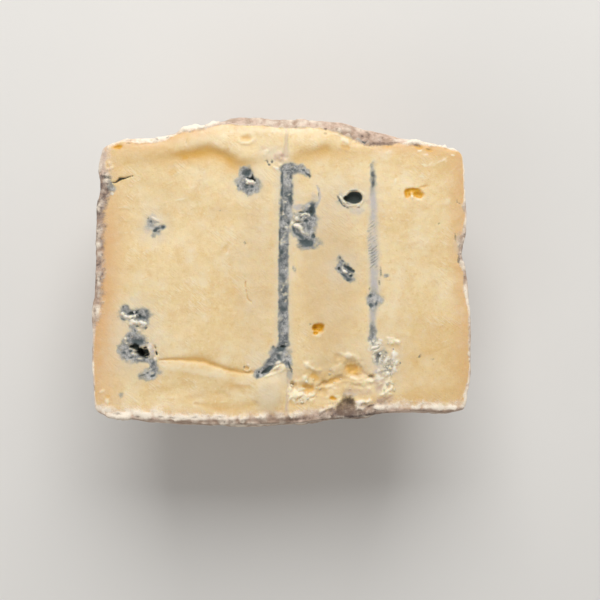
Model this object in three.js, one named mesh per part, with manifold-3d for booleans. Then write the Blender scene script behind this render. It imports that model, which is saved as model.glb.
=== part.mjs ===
// Half of a small drum of blue cheese, lying on its round rind with the cut face up.
// Sizes are millimetres. X runs across the cut face, Y along the axis of the whole drum, Z up.

import * as THREE from "three";
import { mergeVertices } from "three/addons/utils/BufferGeometryUtils.js";
import Module from "manifold-3d";

// Drum: its round side, its two domed ends and the spot that it rests on
const RADIUS = 59; // at the widest ring
const WIDEST_AT = -19; // place of the widest ring along the axis
const TAPER_UP = { loss: 3.3, bend: 1.5 }; // loss of radius from the widest ring to the upper end
const TAPER_DOWN = { loss: 1.2, bend: 2 }; // and to the lower end
const SHOULDER = { run: 2.8, loss: 2, fullness: 0.98 }; // rounding between the round side and an end
const END = 48; // each end's crown, from the middle of the axis
const SETTLED = 2.6; // how far the round side has settled into its flat spot
const CUT_HEIGHT = RADIUS - SETTLED; // the cut face passes through the drum's axis

// Lines of the two ends below the cut: place across, and distance out from the middle of the axis
const UPPER_LINE = [
  [-59, 40.4], [-53, 41.9], [-47.7, 42.3], [-42.4, 42.3], [-36.5, 43.6], [-33, 45.2], [-25.3, 47], [-20, 48.1],
  [-16.6, 48.7], [-6.6, 48.5], [5.8, 48.5], [12, 48.5], [18.3, 47.6], [24.5, 46.4], [30.7, 44.6], [39.1, 43.1],
  [45.6, 41.5], [54, 39.9], [59, 38.8],
];
const LOWER_LINE = [
  [-59, 44.6], [-55.8, 45.3], [-49.2, 46.2], [-43, 47], [-34.3, 47.6], [-22.2, 48.4], [-12.8, 48.5], [-1, 48.3],
  [8.3, 47.7], [15.1, 46.5], [27.6, 45.7], [30, 44.8], [36.9, 44.3], [53.7, 44], [59, 43.5],
];

// Edge of the cut: how far the knife drew each end in, which swells out again below it
const UPPER_LIP = [
  [-59, 0.4], [-30, 0.7], [-22, 1.2], [-16.6, 2], [-6.6, 2.4], [8.9, 2.8], [18.3, 3.2], [26, 4.3], [30.7, 3.8],
  [36.9, 2.2], [45.6, 0.8], [59, 0.4],
];
const LOWER_LIP = [[-59, 0.5], [-48, 0.9], [-34, 1.2], [10, 1.3], [28, 1.2], [59, 0.5]];
const LIP_DEPTH = 6; // depth at which an end is full again
const EDGE_ROUND = 1; // fall of the cut face at its very edge
const EDGE_SHARP = 24; // how close to its edge the cut face stays level
const SIDE_NOTCH = { at: 6, reach: 5, depth: 1.5 }; // worn dip in the right-hand edge

// Lumps of the rind
const RIND_LUMP = { height: 0.5, pitch: 6.5 };
const RIND_SWELL = { height: 0.4, pitch: 24 };
const RIND_DEPTH = 6; // how quickly the lumps fade in from the rind

// Relief of the cut face
const UNDULATION = { height: 0.5, pitch: 20 };
const ROLL = { height: 1, line: 36.4, wave: 2.2, period: 38, peak: -24, soft: 1.3 };
const SPLIT = { from: -39, to: -7, line: -28, sag: 3.6, step: 0.8, soft: 0.8, crest: 3, reach: 9, ends: 4 };
const SWELLING = { x: -4, y: -37.5, reachX: 6, reachY: 7, height: 0.9 };
const TORN = { x: 18.5, y: -33.5, reachX: 18, reachY: 10.5, depth: 1.5, rough: 1, pitch: 3.6 };

// Needle channels that the knife laid open, with their blue veins
const CHANNEL_WAVE = 9; // length of a channel's sway, over two pi
const CHANNELS = [
  { x: 1, from: 35, to: -24, radius: 2.1, lift: 1.3, sway: 0.5 },
  { x: 29.4, from: 33, to: -21, radius: 1.5, lift: 1.1, sway: 0.5 },
];

// Open pockets in the cut face: place, half width, half height, depth and turn in degrees
const POCKETS = [
  { name: "upper blue pocket", x: -10.2, y: 29, rx: 3.2, ry: 4.4, depth: 3.2, turn: -15 },
  { name: "faint pocket", x: -39, y: 15.5, rx: 3, ry: 3.4, depth: 1.2, turn: 0 },
  { name: "left cluster, upper", x: -46, y: -13.7, rx: 4.6, ry: 3.8, depth: 1.8, turn: 20 },
  { name: "left cluster, lower", x: -43.6, y: -22.6, rx: 5.2, ry: 4.2, depth: 2.2, turn: -20 },
  { name: "left cluster, hole", x: -44.4, y: -24, rx: 3, ry: 2.1, depth: 9, turn: 25 },
  { name: "left cluster, tail", x: -41.4, y: -30.6, rx: 2.2, ry: 2.6, depth: 1.2, turn: 30 },
  { name: "pocket beside the vein", x: 7, y: 14.6, rx: 3, ry: 6, depth: 2.4, turn: 5 },
  { name: "round hole", x: 22.3, y: 23, rx: 2.8, ry: 2.2, depth: 10, turn: 0 },
  { name: "round hole, tail", x: 18.9, y: 23.4, rx: 2.2, ry: 1.2, depth: 2, turn: -10 },
  { name: "slanted pocket", x: 20, y: 1.6, rx: 2.5, ry: 3.8, depth: 2.6, turn: 20 },
  { name: "small golden hole", x: 11.6, y: -17.2, rx: 2.2, ry: 2, depth: 4.5, turn: 0 },
  { name: "wide golden hole", x: 41.9, y: 24.5, rx: 3.7, ry: 2, depth: 4.5, turn: 8 },
  { name: "vein hole", x: 1.2, y: -22.8, rx: 1.5, ry: 1.2, depth: 4, turn: 0 },
  { name: "vein foot", x: -5.6, y: -30.6, rx: 3, ry: 1.2, depth: 2.2, turn: 35 },
  { name: "pit in the crumble", x: 29.8, y: -26.2, rx: 1.9, ry: 2.4, depth: 3, turn: 0 },
  { name: "torn hollow", x: 22.8, y: -29.4, rx: 3.2, ry: 2.4, depth: 2.6, turn: 10 },
  { name: "needle mouth at the edge", x: 20.4, y: -41, rx: 1.8, ry: 2.2, depth: 4, turn: 0 },
  { name: "curl in the roll", x: -11, y: 42, rx: 2.2, ry: 1.4, depth: 1.3, turn: 0 },
  { name: "crack from the left edge", x: -50.2, y: 29, rx: 4, ry: 0.7, depth: 2.6, turn: 17 },
];
const POCKET_RIM = 0.35; // how far a pocket's hollow stands over the face that it opens in
const POCKET_LUMP = { height: 0.2, pitch: 0.8 }; // in shares of a pocket's half width

// Needle mouths in the two ends, below the cut
const MOUTHS = { pitch: 28.4, first: -27.4, count: 3, below: 20, radius: 1.5, tip: 1.05, depth: 5 };

// Curds that stand up in the torn part and in the left cluster
const CURDS = [
  { x: 17, y: -34, reachX: 15, reachY: 8.5, small: 1.2, large: 2.5, count: 14 },
  { x: -45.5, y: -14, reachX: 3.4, reachY: 2.6, small: 0.9, large: 1.3, count: 3 },
  { x: -41, y: -22, reachX: 1.2, reachY: 1.6, small: 1.4, large: 1.6, count: 1 },
  { x: 7, y: 13, reachX: 1.4, reachY: 3, small: 0.9, large: 1.2, count: 2 },
];
const CURD = { root: 2.8, top: 0.8, narrow: 0.85, sunk: 0.35, lump: 0.3, pitch: 0.9 }; // in a curd's half widths
const CURD_TURN = 2.4; // turn from one curd of a group to the next, in radians

// Facets: across, along and down the drum, and of the cutters
const FACETS = { across: 34, along: 28, down: 8 };
const POCKET_FACETS = { round: 8, down: 5 };
const CHANNEL_FACETS = { round: 8, along: 14 };
const MOUTH_FACETS = 8;

const SEED = 20417;

/** Keeps a value between two limits. */
function clamp(value, low, high) {
  return Math.min(high, Math.max(low, value));
}

/** Soft step from 0 to 1 between two edges. */
function softStep(from, to, value) {
  const part = clamp((value - from) / (to - from), 0, 1);
  return part * part * (3 - 2 * part);
}

/** Soft hill from 1 at a place to 0 at its reach. */
function hill(x, y, { x: midX, y: midY, reachX, reachY }) {
  return 1 - softStep(0.35, 1, Math.hypot((x - midX) / reachX, (y - midY) / reachY));
}

/** Repeatable value from -1 to 1 for one point of a whole-number grid. */
function gridValue(i, j, k) {
  let mix = Math.imul(i, 0x27d4eb2d) ^ Math.imul(j, 0x165667b1) ^ Math.imul(k + SEED, 0x9e3779b1);
  mix = Math.imul(mix ^ (mix >>> 15), 0x85ebca6b);
  mix = Math.imul(mix ^ (mix >>> 13), 0xc2b2ae35);
  return ((mix ^ (mix >>> 16)) >>> 0) / 2147483648 - 1;
}

/** Smooth lumps from -1 to 1, one lump in about each pitch. */
function lumps(x, y, z, pitch) {
  const at = [x / pitch, y / pitch, z / pitch];
  const cell = at.map(Math.floor);
  const [u, v, w] = at.map((value, axis) => softStep(0, 1, value - cell[axis]));
  let total = 0;
  for (let corner = 0; corner < 8; corner += 1) {
    const [a, b, c] = [corner & 1, (corner >> 1) & 1, (corner >> 2) & 1];
    const weight = (a ? u : 1 - u) * (b ? v : 1 - v) * (c ? w : 1 - w);
    total += weight * gridValue(cell[0] + a, cell[1] + b, cell[2] + c);
  }
  return total;
}

/** Radius of the drum at a place along its axis, before the shoulders are rounded. */
function radiusAt(y) {
  const up = clamp((y - WIDEST_AT) / (END - WIDEST_AT), 0, 1);
  const down = clamp((WIDEST_AT - y) / (WIDEST_AT + END), 0, 1);
  return RADIUS - TAPER_UP.loss * up ** TAPER_UP.bend - TAPER_DOWN.loss * down ** TAPER_DOWN.bend;
}

/** Value at a place on a line through rows of place and value. */
function lineAt(rows, place) {
  const next = rows.findIndex(([x]) => x >= place);
  if (next < 1) return rows[next < 0 ? rows.length - 1 : 0][1];
  const [[fromX, from], [toX, to]] = [rows[next - 1], rows[next]];
  return THREE.MathUtils.mapLinear(place, fromX, toX, from, to);
}

/** Place along the axis of an end's skin: its line in the cut, turned down about the axis. */
function endAt(side, x, depth) {
  const out = Math.max(Math.hypot(x, depth), Number.EPSILON);
  const [line, lip] = side > 0 ? [UPPER_LINE, UPPER_LIP] : [LOWER_LINE, LOWER_LIP];
  const skin = THREE.MathUtils.lerp(lineAt(line, -out), lineAt(line, out), (1 + x / out) / 2);
  const inset = (1 - softStep(0, LIP_DEPTH, depth)) * lineAt(lip, x);
  return side * (skin - inset + RIND_LUMP.height * lumps(x, side * END, depth, RIND_LUMP.pitch));
}

/** Loss of radius where the round side turns into an end, the given run from that end. */
function shoulderLoss(run) {
  const part = clamp(1 - run / SHOULDER.run, 0, 1);
  return SHOULDER.loss * (1 - Math.sqrt(1 - part * part * SHOULDER.fullness));
}

/** Height of the cut face over its mean level. */
function faceRelief(x, y) {
  const broad = UNDULATION.height * lumps(x, y, 3, UNDULATION.pitch);
  const rollLine = ROLL.line + ROLL.wave * Math.cos((2 * Math.PI * (x - ROLL.peak)) / ROLL.period);
  const roll = ROLL.height * softStep(rollLine - ROLL.soft, rollLine + ROLL.soft, y);
  const along = clamp((x - SPLIT.from) / (SPLIT.to - SPLIT.from), 0, 1);
  const below = SPLIT.line - SPLIT.sag * along * along - y;
  const ends = softStep(SPLIT.from - SPLIT.ends, SPLIT.from, x) * (1 - softStep(SPLIT.to, SPLIT.to + SPLIT.ends, x));
  const rise = softStep(-SPLIT.soft, SPLIT.soft, below) * (1 - softStep(SPLIT.crest, SPLIT.reach, below));
  const step = SPLIT.step * ends * rise;
  const swelling = SWELLING.height * hill(x, y, SWELLING);
  const torn = hill(x, y, TORN);
  const rough = TORN.rough * lumps(x, y, 9, TORN.pitch) - TORN.depth;
  return broad + roll + step + swelling + torn * rough;
}

/** Point of the skin for across and along from -1 to 1 and down from 0 at the cut to 1. */
function skinPoint(across, along, down, target) {
  const u = across * Math.sqrt(1 - (down * down) / 2);
  const v = down * Math.sqrt(1 - (across * across) / 2);
  const out = Math.hypot(u, v);
  const [upper, lower] = [1, -1].map((side) => endAt(side, u * RADIUS, v * RADIUS));
  const y = THREE.MathUtils.lerp(lower, upper, (along + 1) / 2);
  const outer = out ** RIND_DEPTH;
  const swell = RIND_SWELL.height * lumps(u * RADIUS, y, v * RADIUS, RIND_SWELL.pitch);
  const lump = RIND_LUMP.height * lumps(u * RADIUS, y, v * RADIUS, RIND_LUMP.pitch);
  const notchRun = (y - SIDE_NOTCH.at) / SIDE_NOTCH.reach;
  const notch = u > 0 ? SIDE_NOTCH.depth * Math.exp(-notchRun * notchRun) * (1 - v) ** 3 : 0;
  const shoulder = shoulderLoss(Math.min(upper - y, y - lower));
  const radius = radiusAt(y) + outer * (swell + lump - notch - shoulder);
  const x = u * radius;
  let z = CUT_HEIGHT - v * radius;
  if (down === 0) {
    const edge = Math.max(Math.abs(across), Math.abs(along)) ** EDGE_SHARP;
    z += faceRelief(x, y) * (1 - 0.5 * edge) - EDGE_ROUND * edge;
  }
  return target.set(x, y, Math.max(z, 0));
}

/** The half drum as one closed skin. */
function drumGeometry() {
  const geometry = new THREE.BoxGeometry(2, 2, 1, FACETS.across, FACETS.along, FACETS.down);
  const points = geometry.attributes.position;
  const point = new THREE.Vector3();
  for (let i = 0; i < points.count; i += 1) {
    skinPoint(points.getX(i), points.getY(i), 0.5 - points.getZ(i), point);
    points.setXYZ(i, point.x, point.y, point.z);
  }
  return geometry;
}

/** Hollow of one pocket, a lumpy bowl that opens at the cut face. */
function pocketGeometry({ x, y, rx, ry, depth, turn }, index) {
  const geometry = new THREE.SphereGeometry(1, POCKET_FACETS.round, POCKET_FACETS.down);
  const points = geometry.attributes.position;
  const angle = THREE.MathUtils.degToRad(turn);
  const [cos, sin] = [Math.cos(angle), Math.sin(angle)];
  const mouth = CUT_HEIGHT + faceRelief(x, y) + POCKET_RIM;
  for (let i = 0; i < points.count; i += 1) {
    const [a, b, c] = [points.getX(i), points.getY(i), points.getZ(i)];
    const size = 1 + POCKET_LUMP.height * lumps(a + 7 * index, b, c, POCKET_LUMP.pitch);
    const [across, along] = [a * rx * size, b * ry * size];
    points.setXYZ(i, x + across * cos - along * sin, y + across * sin + along * cos, mouth + c * depth);
  }
  return geometry;
}

/** Groove that a needle channel leaves in the cut face. */
function channelGeometry({ x, from, to, radius, lift, sway }) {
  const { round, along } = CHANNEL_FACETS;
  const geometry = new THREE.CylinderGeometry(radius, radius, from - to, round, along);
  const points = geometry.attributes.position;
  for (let i = 0; i < points.count; i += 1) {
    const y = points.getY(i) + (from + to) / 2;
    const bend = sway * Math.sin(y / CHANNEL_WAVE);
    const face = CUT_HEIGHT + faceRelief(x, y);
    points.setXYZ(i, x + bend + points.getX(i), y, face + lift + points.getZ(i));
  }
  return geometry;
}

/** One needle mouth in an end. */
function mouthGeometry(side, x) {
  const geometry = new THREE.CylinderGeometry(MOUTHS.radius, MOUTHS.tip, MOUTHS.depth * 2, MOUTH_FACETS);
  if (side < 0) geometry.rotateX(Math.PI);
  geometry.translate(x, endAt(side, x, MOUTHS.below), CUT_HEIGHT - MOUTHS.below);
  return geometry;
}

/** One knobbly curd, with a root that grows into the paste. */
function curdGeometry(x, y, size, index) {
  const geometry = new THREE.IcosahedronGeometry(size, 1);
  const points = geometry.attributes.position;
  const level = CUT_HEIGHT + faceRelief(x, y) - size * CURD.sunk;
  for (let i = 0; i < points.count; i += 1) {
    const [a, b, c] = [points.getX(i), points.getY(i), points.getZ(i)];
    const grow = 1 + CURD.lump * lumps(a + 5 * index, b, c, size * CURD.pitch);
    const tall = c > 0 ? CURD.top : CURD.root;
    points.setXYZ(i, x + a * grow, y + b * grow * CURD.narrow, level + c * grow * tall);
  }
  return geometry;
}

const wasm = await Module();
wasm.setup();

/** Closed solid of a three.js geometry. */
function solid(geometry) {
  const bare = new THREE.BufferGeometry();
  bare.setAttribute("position", geometry.attributes.position);
  bare.setIndex(geometry.index);
  const merged = mergeVertices(bare, 1e-4);
  const corners = merged.index.array;
  const whole = [];
  for (let i = 0; i < corners.length; i += 3) {
    const [a, b, c] = [corners[i], corners[i + 1], corners[i + 2]];
    if (a !== b && b !== c && c !== a) whole.push(a, b, c);
  }
  const vertProperties = new Float32Array(merged.attributes.position.array);
  const triVerts = new Uint32Array(whole);
  return new wasm.Manifold(new wasm.Mesh({ numProp: 3, vertProperties, triVerts }));
}

/** three.js geometry of a closed solid. */
function geometryOf(body) {
  const mesh = body.getMesh();
  const geometry = new THREE.BufferGeometry();
  geometry.setAttribute("position", new THREE.BufferAttribute(new Float32Array(mesh.vertProperties), 3));
  geometry.setIndex(new THREE.BufferAttribute(new Uint32Array(mesh.triVerts), 1));
  geometry.computeVertexNormals();
  return geometry;
}

let body = solid(drumGeometry());
CHANNELS.forEach((channel) => {
  body = body.subtract(solid(channelGeometry(channel)));
});
POCKETS.forEach((pocket, index) => {
  body = body.subtract(solid(pocketGeometry(pocket, index)));
});
[1, -1].forEach((side) => {
  for (let i = 0; i < MOUTHS.count; i += 1) {
    body = body.subtract(solid(mouthGeometry(side, MOUTHS.first + MOUTHS.pitch * i)));
  }
});
CURDS.forEach(({ x, y, reachX, reachY, small, large, count }, group) => {
  for (let i = 0; i < count; i += 1) {
    const angle = CURD_TURN * i + group;
    const reach = Math.sqrt((i + 0.5) / count);
    const size = THREE.MathUtils.lerp(small, large, 0.5 + 0.5 * gridValue(i, group, 1));
    const [curdX, curdY] = [x + reachX * reach * Math.cos(angle), y + reachY * reach * Math.sin(angle)];
    body = body.add(solid(curdGeometry(curdX, curdY, size, i)));
  }
});

const cheese = new THREE.Mesh(
  geometryOf(body),
  new THREE.MeshStandardMaterial({ color: 0xe6cd9c, roughness: 0.6 }),
);
cheese.name = "cheese";

const part = new THREE.Group();
part.name = "blue_cheese_half";
part.add(cheese);

export default part;
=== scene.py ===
"""Half of a small drum of blue cheese, lying on its round rind with the cut face up.

Sizes are millimetres until a mesh is written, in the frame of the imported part: X across the cut face,
Y along the axis of the whole drum and Z up.
"""

import logging
import math
from contextlib import contextmanager
from dataclasses import dataclass, field
from enum import Enum
from typing import Any, Iterator

import bpy
import numpy as np
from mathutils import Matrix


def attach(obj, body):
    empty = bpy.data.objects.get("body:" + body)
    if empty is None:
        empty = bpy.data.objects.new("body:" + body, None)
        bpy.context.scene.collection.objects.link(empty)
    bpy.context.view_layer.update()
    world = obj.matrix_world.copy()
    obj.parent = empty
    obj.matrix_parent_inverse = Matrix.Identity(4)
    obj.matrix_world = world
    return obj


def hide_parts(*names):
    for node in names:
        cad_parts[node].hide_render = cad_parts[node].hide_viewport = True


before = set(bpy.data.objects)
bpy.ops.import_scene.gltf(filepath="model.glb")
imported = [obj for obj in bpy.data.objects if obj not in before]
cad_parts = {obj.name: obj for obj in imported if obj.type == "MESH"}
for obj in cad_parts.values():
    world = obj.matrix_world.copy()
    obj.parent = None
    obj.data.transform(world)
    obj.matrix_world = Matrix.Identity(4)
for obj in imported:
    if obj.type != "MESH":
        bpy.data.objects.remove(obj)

Array = np.ndarray
Colour = tuple[float, float, float]

MM = 0.001
SEED = 20417
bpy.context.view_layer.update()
NODE = "cheese"

log = logging.getLogger("cheese")


def soft_step(low: float, high: float, value: Array) -> Array:
    """Soft step from 0 at low to 1 at high."""
    part = np.clip((value - low) / (high - low), 0.0, 1.0)
    return part * part * (3.0 - 2.0 * part)


def fade(near: float, far: float, value: Array) -> Array:
    """Soft fall from 1 at near to 0 at far."""
    return 1.0 - soft_step(near, far, value)


def blend(start: Array, end: Array, share: Array) -> Array:
    """Straight blend from start to end."""
    return start + (end - start) * share


def channel(value: int) -> float:
    """Linear value of a display value from 0 to 255."""
    part = value / 255.0
    return part / 12.92 if part <= 0.04045 else ((part + 0.055) / 1.055) ** 2.4


def linear(red: int, green: int, blue: int) -> Colour:
    """Linear colour of a display colour."""
    return channel(red), channel(green), channel(blue)


class Grain:
    """Repeatable noise over points in millimetres."""

    LAYER_GAP = 31.7

    @staticmethod
    def value(i: Array, j: Array, k: Array) -> Array:
        """Repeatable values for points of a whole-number grid.

        Args:
            i: Place across.
            j: Place along.
            k: Place up.

        Returns:
            A value from -1 to 1 for each point.
        """
        mix = i.astype(np.uint32) * np.uint32(0x27D4EB2D)
        mix = mix ^ (j.astype(np.uint32) * np.uint32(0x165667B1))
        mix = mix ^ ((k + SEED).astype(np.uint32) * np.uint32(0x9E3779B1))
        mix = (mix ^ (mix >> np.uint32(15))) * np.uint32(0x85EBCA6B)
        mix = (mix ^ (mix >> np.uint32(13))) * np.uint32(0xC2B2AE35)
        return (mix ^ (mix >> np.uint32(16))) / 2147483648.0 - 1.0

    @classmethod
    def lumps(cls, x: Array, y: Array, z: Array | float, pitch: float) -> Array:
        """Smooth lumps from -1 to 1, one lump in about each pitch.

        Args:
            x: Place across, in millimetres.
            y: Place along.
            z: Place up, or a number that picks one layer of lumps.
            pitch: Size of a lump.

        Returns:
            The height of the lumps at each point.
        """
        at = np.stack(np.broadcast_arrays(x, y, z)) / pitch
        cell = np.floor(at).astype(np.int64)
        u, v, w = soft_step(0.0, 1.0, at - cell)
        total = np.zeros_like(u)
        for corner in range(8):
            a, b, c = corner & 1, (corner >> 1) & 1, (corner >> 2) & 1
            weight = (u if a else 1 - u) * (v if b else 1 - v) * (w if c else 1 - w)
            total += weight * cls.value(cell[0] + a, cell[1] + b, cell[2] + c)
        return total

    @classmethod
    def layers(cls, x: Array, y: Array, z: Array | float, pitch: float, count: int = 3) -> Array:
        """Lumps with finer lumps on them.

        Args:
            x: Place across, in millimetres.
            y: Place along.
            z: Place up, or a number that picks one layer of lumps.
            pitch: Size of the largest lumps.
            count: How many sizes of lump.

        Returns:
            Heights from about -1 to 1.
        """
        total = np.zeros(np.broadcast(x, y).shape)
        for layer in range(count):
            total += cls.lumps(x, y, np.asarray(z) + cls.LAYER_GAP * layer, pitch / 2**layer) / 2**layer
        return total / 1.5


def pick(*pieces: bpy.types.Object) -> None:
    """Selects the given pieces alone.

    Args:
        pieces: The pieces, of which the first becomes active.
    """
    bpy.ops.object.select_all(action="DESELECT")
    for piece in pieces:
        piece.select_set(True)
    bpy.context.view_layer.objects.active = pieces[0]


@contextmanager
def editing(piece: bpy.types.Object) -> Iterator[None]:
    """Opens one piece in edit mode, and closes it again.

    Args:
        piece: The piece.
    """
    pick(piece)
    bpy.ops.object.mode_set(mode="EDIT")
    yield
    bpy.ops.object.mode_set(mode="OBJECT")


def rows_of(members: Any, name: str) -> Array:
    """Rows of three numbers from a list of a mesh.

    Args:
        members: The list, such as the mesh's vertices.
        name: What is read of each member.

    Returns:
        One row for each member.
    """
    flat = np.empty(len(members) * 3)
    members.foreach_get(name, flat)
    return flat.reshape(-1, 3)


def points_of(piece: bpy.types.Object) -> Array:
    """Places of a piece's vertices, in millimetres."""
    return rows_of(piece.data.vertices, "co") / MM


def place_points(piece: bpy.types.Object, points: Array) -> None:
    """Moves a piece's vertices to places given in millimetres."""
    piece.data.vertices.foreach_set("co", (points * MM).ravel())
    piece.data.update()


def normals_of(piece: bpy.types.Object) -> Array:
    """Outward directions of a piece's vertices."""
    return rows_of(piece.data.vertex_normals, "vector")


def keep_mask(piece: bpy.types.Object, name: str, values: Array) -> None:
    """Stores one value per vertex where the finishes can read it."""
    mask = piece.data.attributes.new(name, "FLOAT", "POINT")
    mask.data.foreach_set("value", values.astype(np.float32))


def triangle_count(piece: bpy.types.Object) -> int:
    """Number of triangles in a piece's mesh."""
    piece.data.calc_loop_triangles()
    return len(piece.data.loop_triangles)


@dataclass(frozen=True)
class Profile:
    """A line through given places, as pairs of place across and value."""

    rows: tuple[tuple[float, float], ...]

    def at(self, place: Array) -> Array:
        """Value at each place, on straight lines between the rows."""
        places, values = zip(*self.rows)
        return np.interp(place, places, values)


@dataclass(frozen=True)
class DrumForm:
    """Form of the half drum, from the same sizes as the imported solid."""

    radius: float = 59.0
    widest_at: float = -19.0
    taper_up: float = 3.3
    taper_bend: float = 1.5
    taper_down: float = 1.2
    shoulder: float = 2.8
    shoulder_loss: float = 2.0
    end: float = 48.0
    settled: float = 2.6
    upper: Profile = Profile((
        (-59.0, 40.4), (-53.0, 41.9), (-47.7, 42.3), (-42.4, 42.3), (-36.5, 43.6), (-33.0, 45.2),
        (-25.3, 47.0), (-20.0, 48.1), (-16.6, 48.7), (-6.6, 48.5), (5.8, 48.5), (12.0, 48.5), (18.3, 47.6),
        (24.5, 46.4), (30.7, 44.6), (39.1, 43.1), (45.6, 41.5), (54.0, 39.9), (59.0, 38.8)))
    lower: Profile = Profile((
        (-59.0, 44.6), (-55.8, 45.3), (-49.2, 46.2), (-43.0, 47.0), (-34.3, 47.6), (-22.2, 48.4),
        (-12.8, 48.5), (-1.0, 48.3), (8.3, 47.7), (15.1, 46.5), (27.6, 45.7), (30.0, 44.8), (36.9, 44.3),
        (53.7, 44.0), (59.0, 43.5)))
    upper_lip: Profile = Profile((
        (-59.0, 0.4), (-30.0, 0.7), (-22.0, 1.2), (-16.6, 2.0), (-6.6, 2.4), (8.9, 2.8), (18.3, 3.2),
        (26.0, 4.3), (30.7, 3.8), (36.9, 2.2), (45.6, 0.8), (59.0, 0.4)))
    lower_lip: Profile = Profile((
        (-59.0, 0.5), (-48.0, 0.9), (-34.0, 1.2), (10.0, 1.3), (28.0, 1.2), (59.0, 0.5)))
    lip_depth: float = 6.0
    edge_round: float = 1.0
    notch_at: float = 6.0
    notch_reach: float = 5.0
    notch_depth: float = 1.5
    lump_height: float = 0.5
    lump_pitch: float = 6.5
    swell_height: float = 0.4
    swell_pitch: float = 24.0

    @property
    def cut(self) -> float:
        """Height of the cut face, which passes through the drum's axis."""
        return self.radius - self.settled

    def radius_at(self, y: Array) -> Array:
        """Radius of the drum before its shoulders are rounded.

        Args:
            y: Place along the axis.

        Returns:
            The radius at each place.
        """
        up = np.clip((y - self.widest_at) / (self.end - self.widest_at), 0.0, 1.0)
        down = np.clip((self.widest_at - y) / (self.widest_at + self.end), 0.0, 1.0)
        return self.radius - self.taper_up * up**self.taper_bend - self.taper_down * down**2

    def end_at(self, side: int, x: Array, depth: Array) -> Array:
        """Place along the axis of an end's skin.

        Args:
            side: 1 for the upper end, -1 for the lower.
            x: Place across the drum.
            depth: Depth below the cut.

        Returns:
            The place along the axis at each point.
        """
        out = np.maximum(np.hypot(x, depth), 0.01)
        line, lip = (self.upper, self.upper_lip) if side > 0 else (self.lower, self.lower_lip)
        skin = blend(line.at(-out), line.at(out), (1.0 + x / out) / 2.0)
        inset = fade(0.0, self.lip_depth, depth) * lip.at(x)
        lump = self.lump_height * Grain.lumps(x, np.full_like(x, side * self.end), depth, self.lump_pitch)
        return side * (skin - inset + lump)

    def loss_at(self, run: Array) -> Array:
        """Loss of radius the given run from an end."""
        part = np.clip(1.0 - run / self.shoulder, 0.0, 1.0)
        return self.shoulder_loss * (1.0 - np.sqrt(1.0 - part**2 * 0.98))

    def shape(self, blank: Array) -> tuple[Array, Array, Array]:
        """Turns points of a plain half cylinder into points of the drum.

        Args:
            blank: Points of the plain half cylinder.

        Returns:
            The points of the drum, and each point's distance in from the round side and from the nearer end.
        """
        u = blank[:, 0] / self.radius
        v = (self.cut - blank[:, 2]) / self.radius
        along = blank[:, 1] / self.end
        across, depth = u * self.radius, v * self.radius
        upper, lower = self.end_at(1, across, depth), self.end_at(-1, across, depth)
        y = blend(lower, upper, (along + 1.0) / 2.0)
        outer = np.hypot(u, v) ** 6
        swell = self.swell_height * Grain.lumps(across, y, depth, self.swell_pitch)
        lump = self.lump_height * Grain.lumps(across, y, depth, self.lump_pitch)
        notch = self.notch_depth * np.exp(-(((y - self.notch_at) / self.notch_reach) ** 2))
        notch = np.where(u > 0.0, notch * np.clip(1.0 - v, 0.0, 1.0) ** 3, 0.0)
        run = np.minimum(upper - y, y - lower)
        radius = self.radius_at(y) + outer * (swell + lump - notch - self.loss_at(run))
        z = np.maximum(self.cut - v * radius, 0.0)
        side_in = np.clip(1.0 - np.hypot(u, v), 0.0, 1.0) * radius
        return np.column_stack((u * radius, y, z)), side_in, np.maximum(run, 0.0)


class Tint(Enum):
    """What a spot of the cut face shows."""

    MOULD = "mould"
    MOSS = "moss"
    # DARK is the darkest mould, and painted shade inside the open holes and the notch of the lower edge
    DARK = "dark"
    WHITE = "white"
    # GOLD is painted light and shade: the golden glow of light scattered into holes, and golden shade in
    # hollows, cracks, the ring's dimple and below the roll
    GOLD = "gold"
    # DEEP is the paste's deeper butter tone, and also painted shade in folds, cracks, hollows and below the
    # roll
    DEEP = "deep"
    PALE = "pale"
    PINK = "pink"
    LILAC = "lilac"
    CHALK = "chalk"
    # BROWN is brown marks of rind and mould, and painted shade in dents and gaps along the rim and the lower
    # edge
    BROWN = "brown"


MOULD, MOSS, DARK, WHITE, GOLD, DEEP, PALE, PINK, LILAC, CHALK, BROWN = Tint
# Tints of the paste itself, which the others lie on; the deeper one is also laid as painted shade
GROUND = (PALE, DEEP)
# Tints that stay where another is laid over them
UNDER = {DARK: (MOULD, MOSS, BROWN), MOSS: (MOULD,)}
# How ragged a tint's edge is
LOOSE = {WHITE: 0.5, GOLD: 0.25, DARK: 0.4, MOSS: 0.6, MOULD: 0.4}
# Where a tint's edge starts and ends, 1 at the rim of a spot
SOFT = {PALE: (0.3, 1.8), DEEP: (0.1, 1.8), MOULD: (0.3, 1.45), MOSS: (0.15, 1.4),
        WHITE: (0.3, 1.2), DARK: (0.45, 1.2), CHALK: (0.4, 1.2), BROWN: (0.3, 1.4)}


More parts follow.
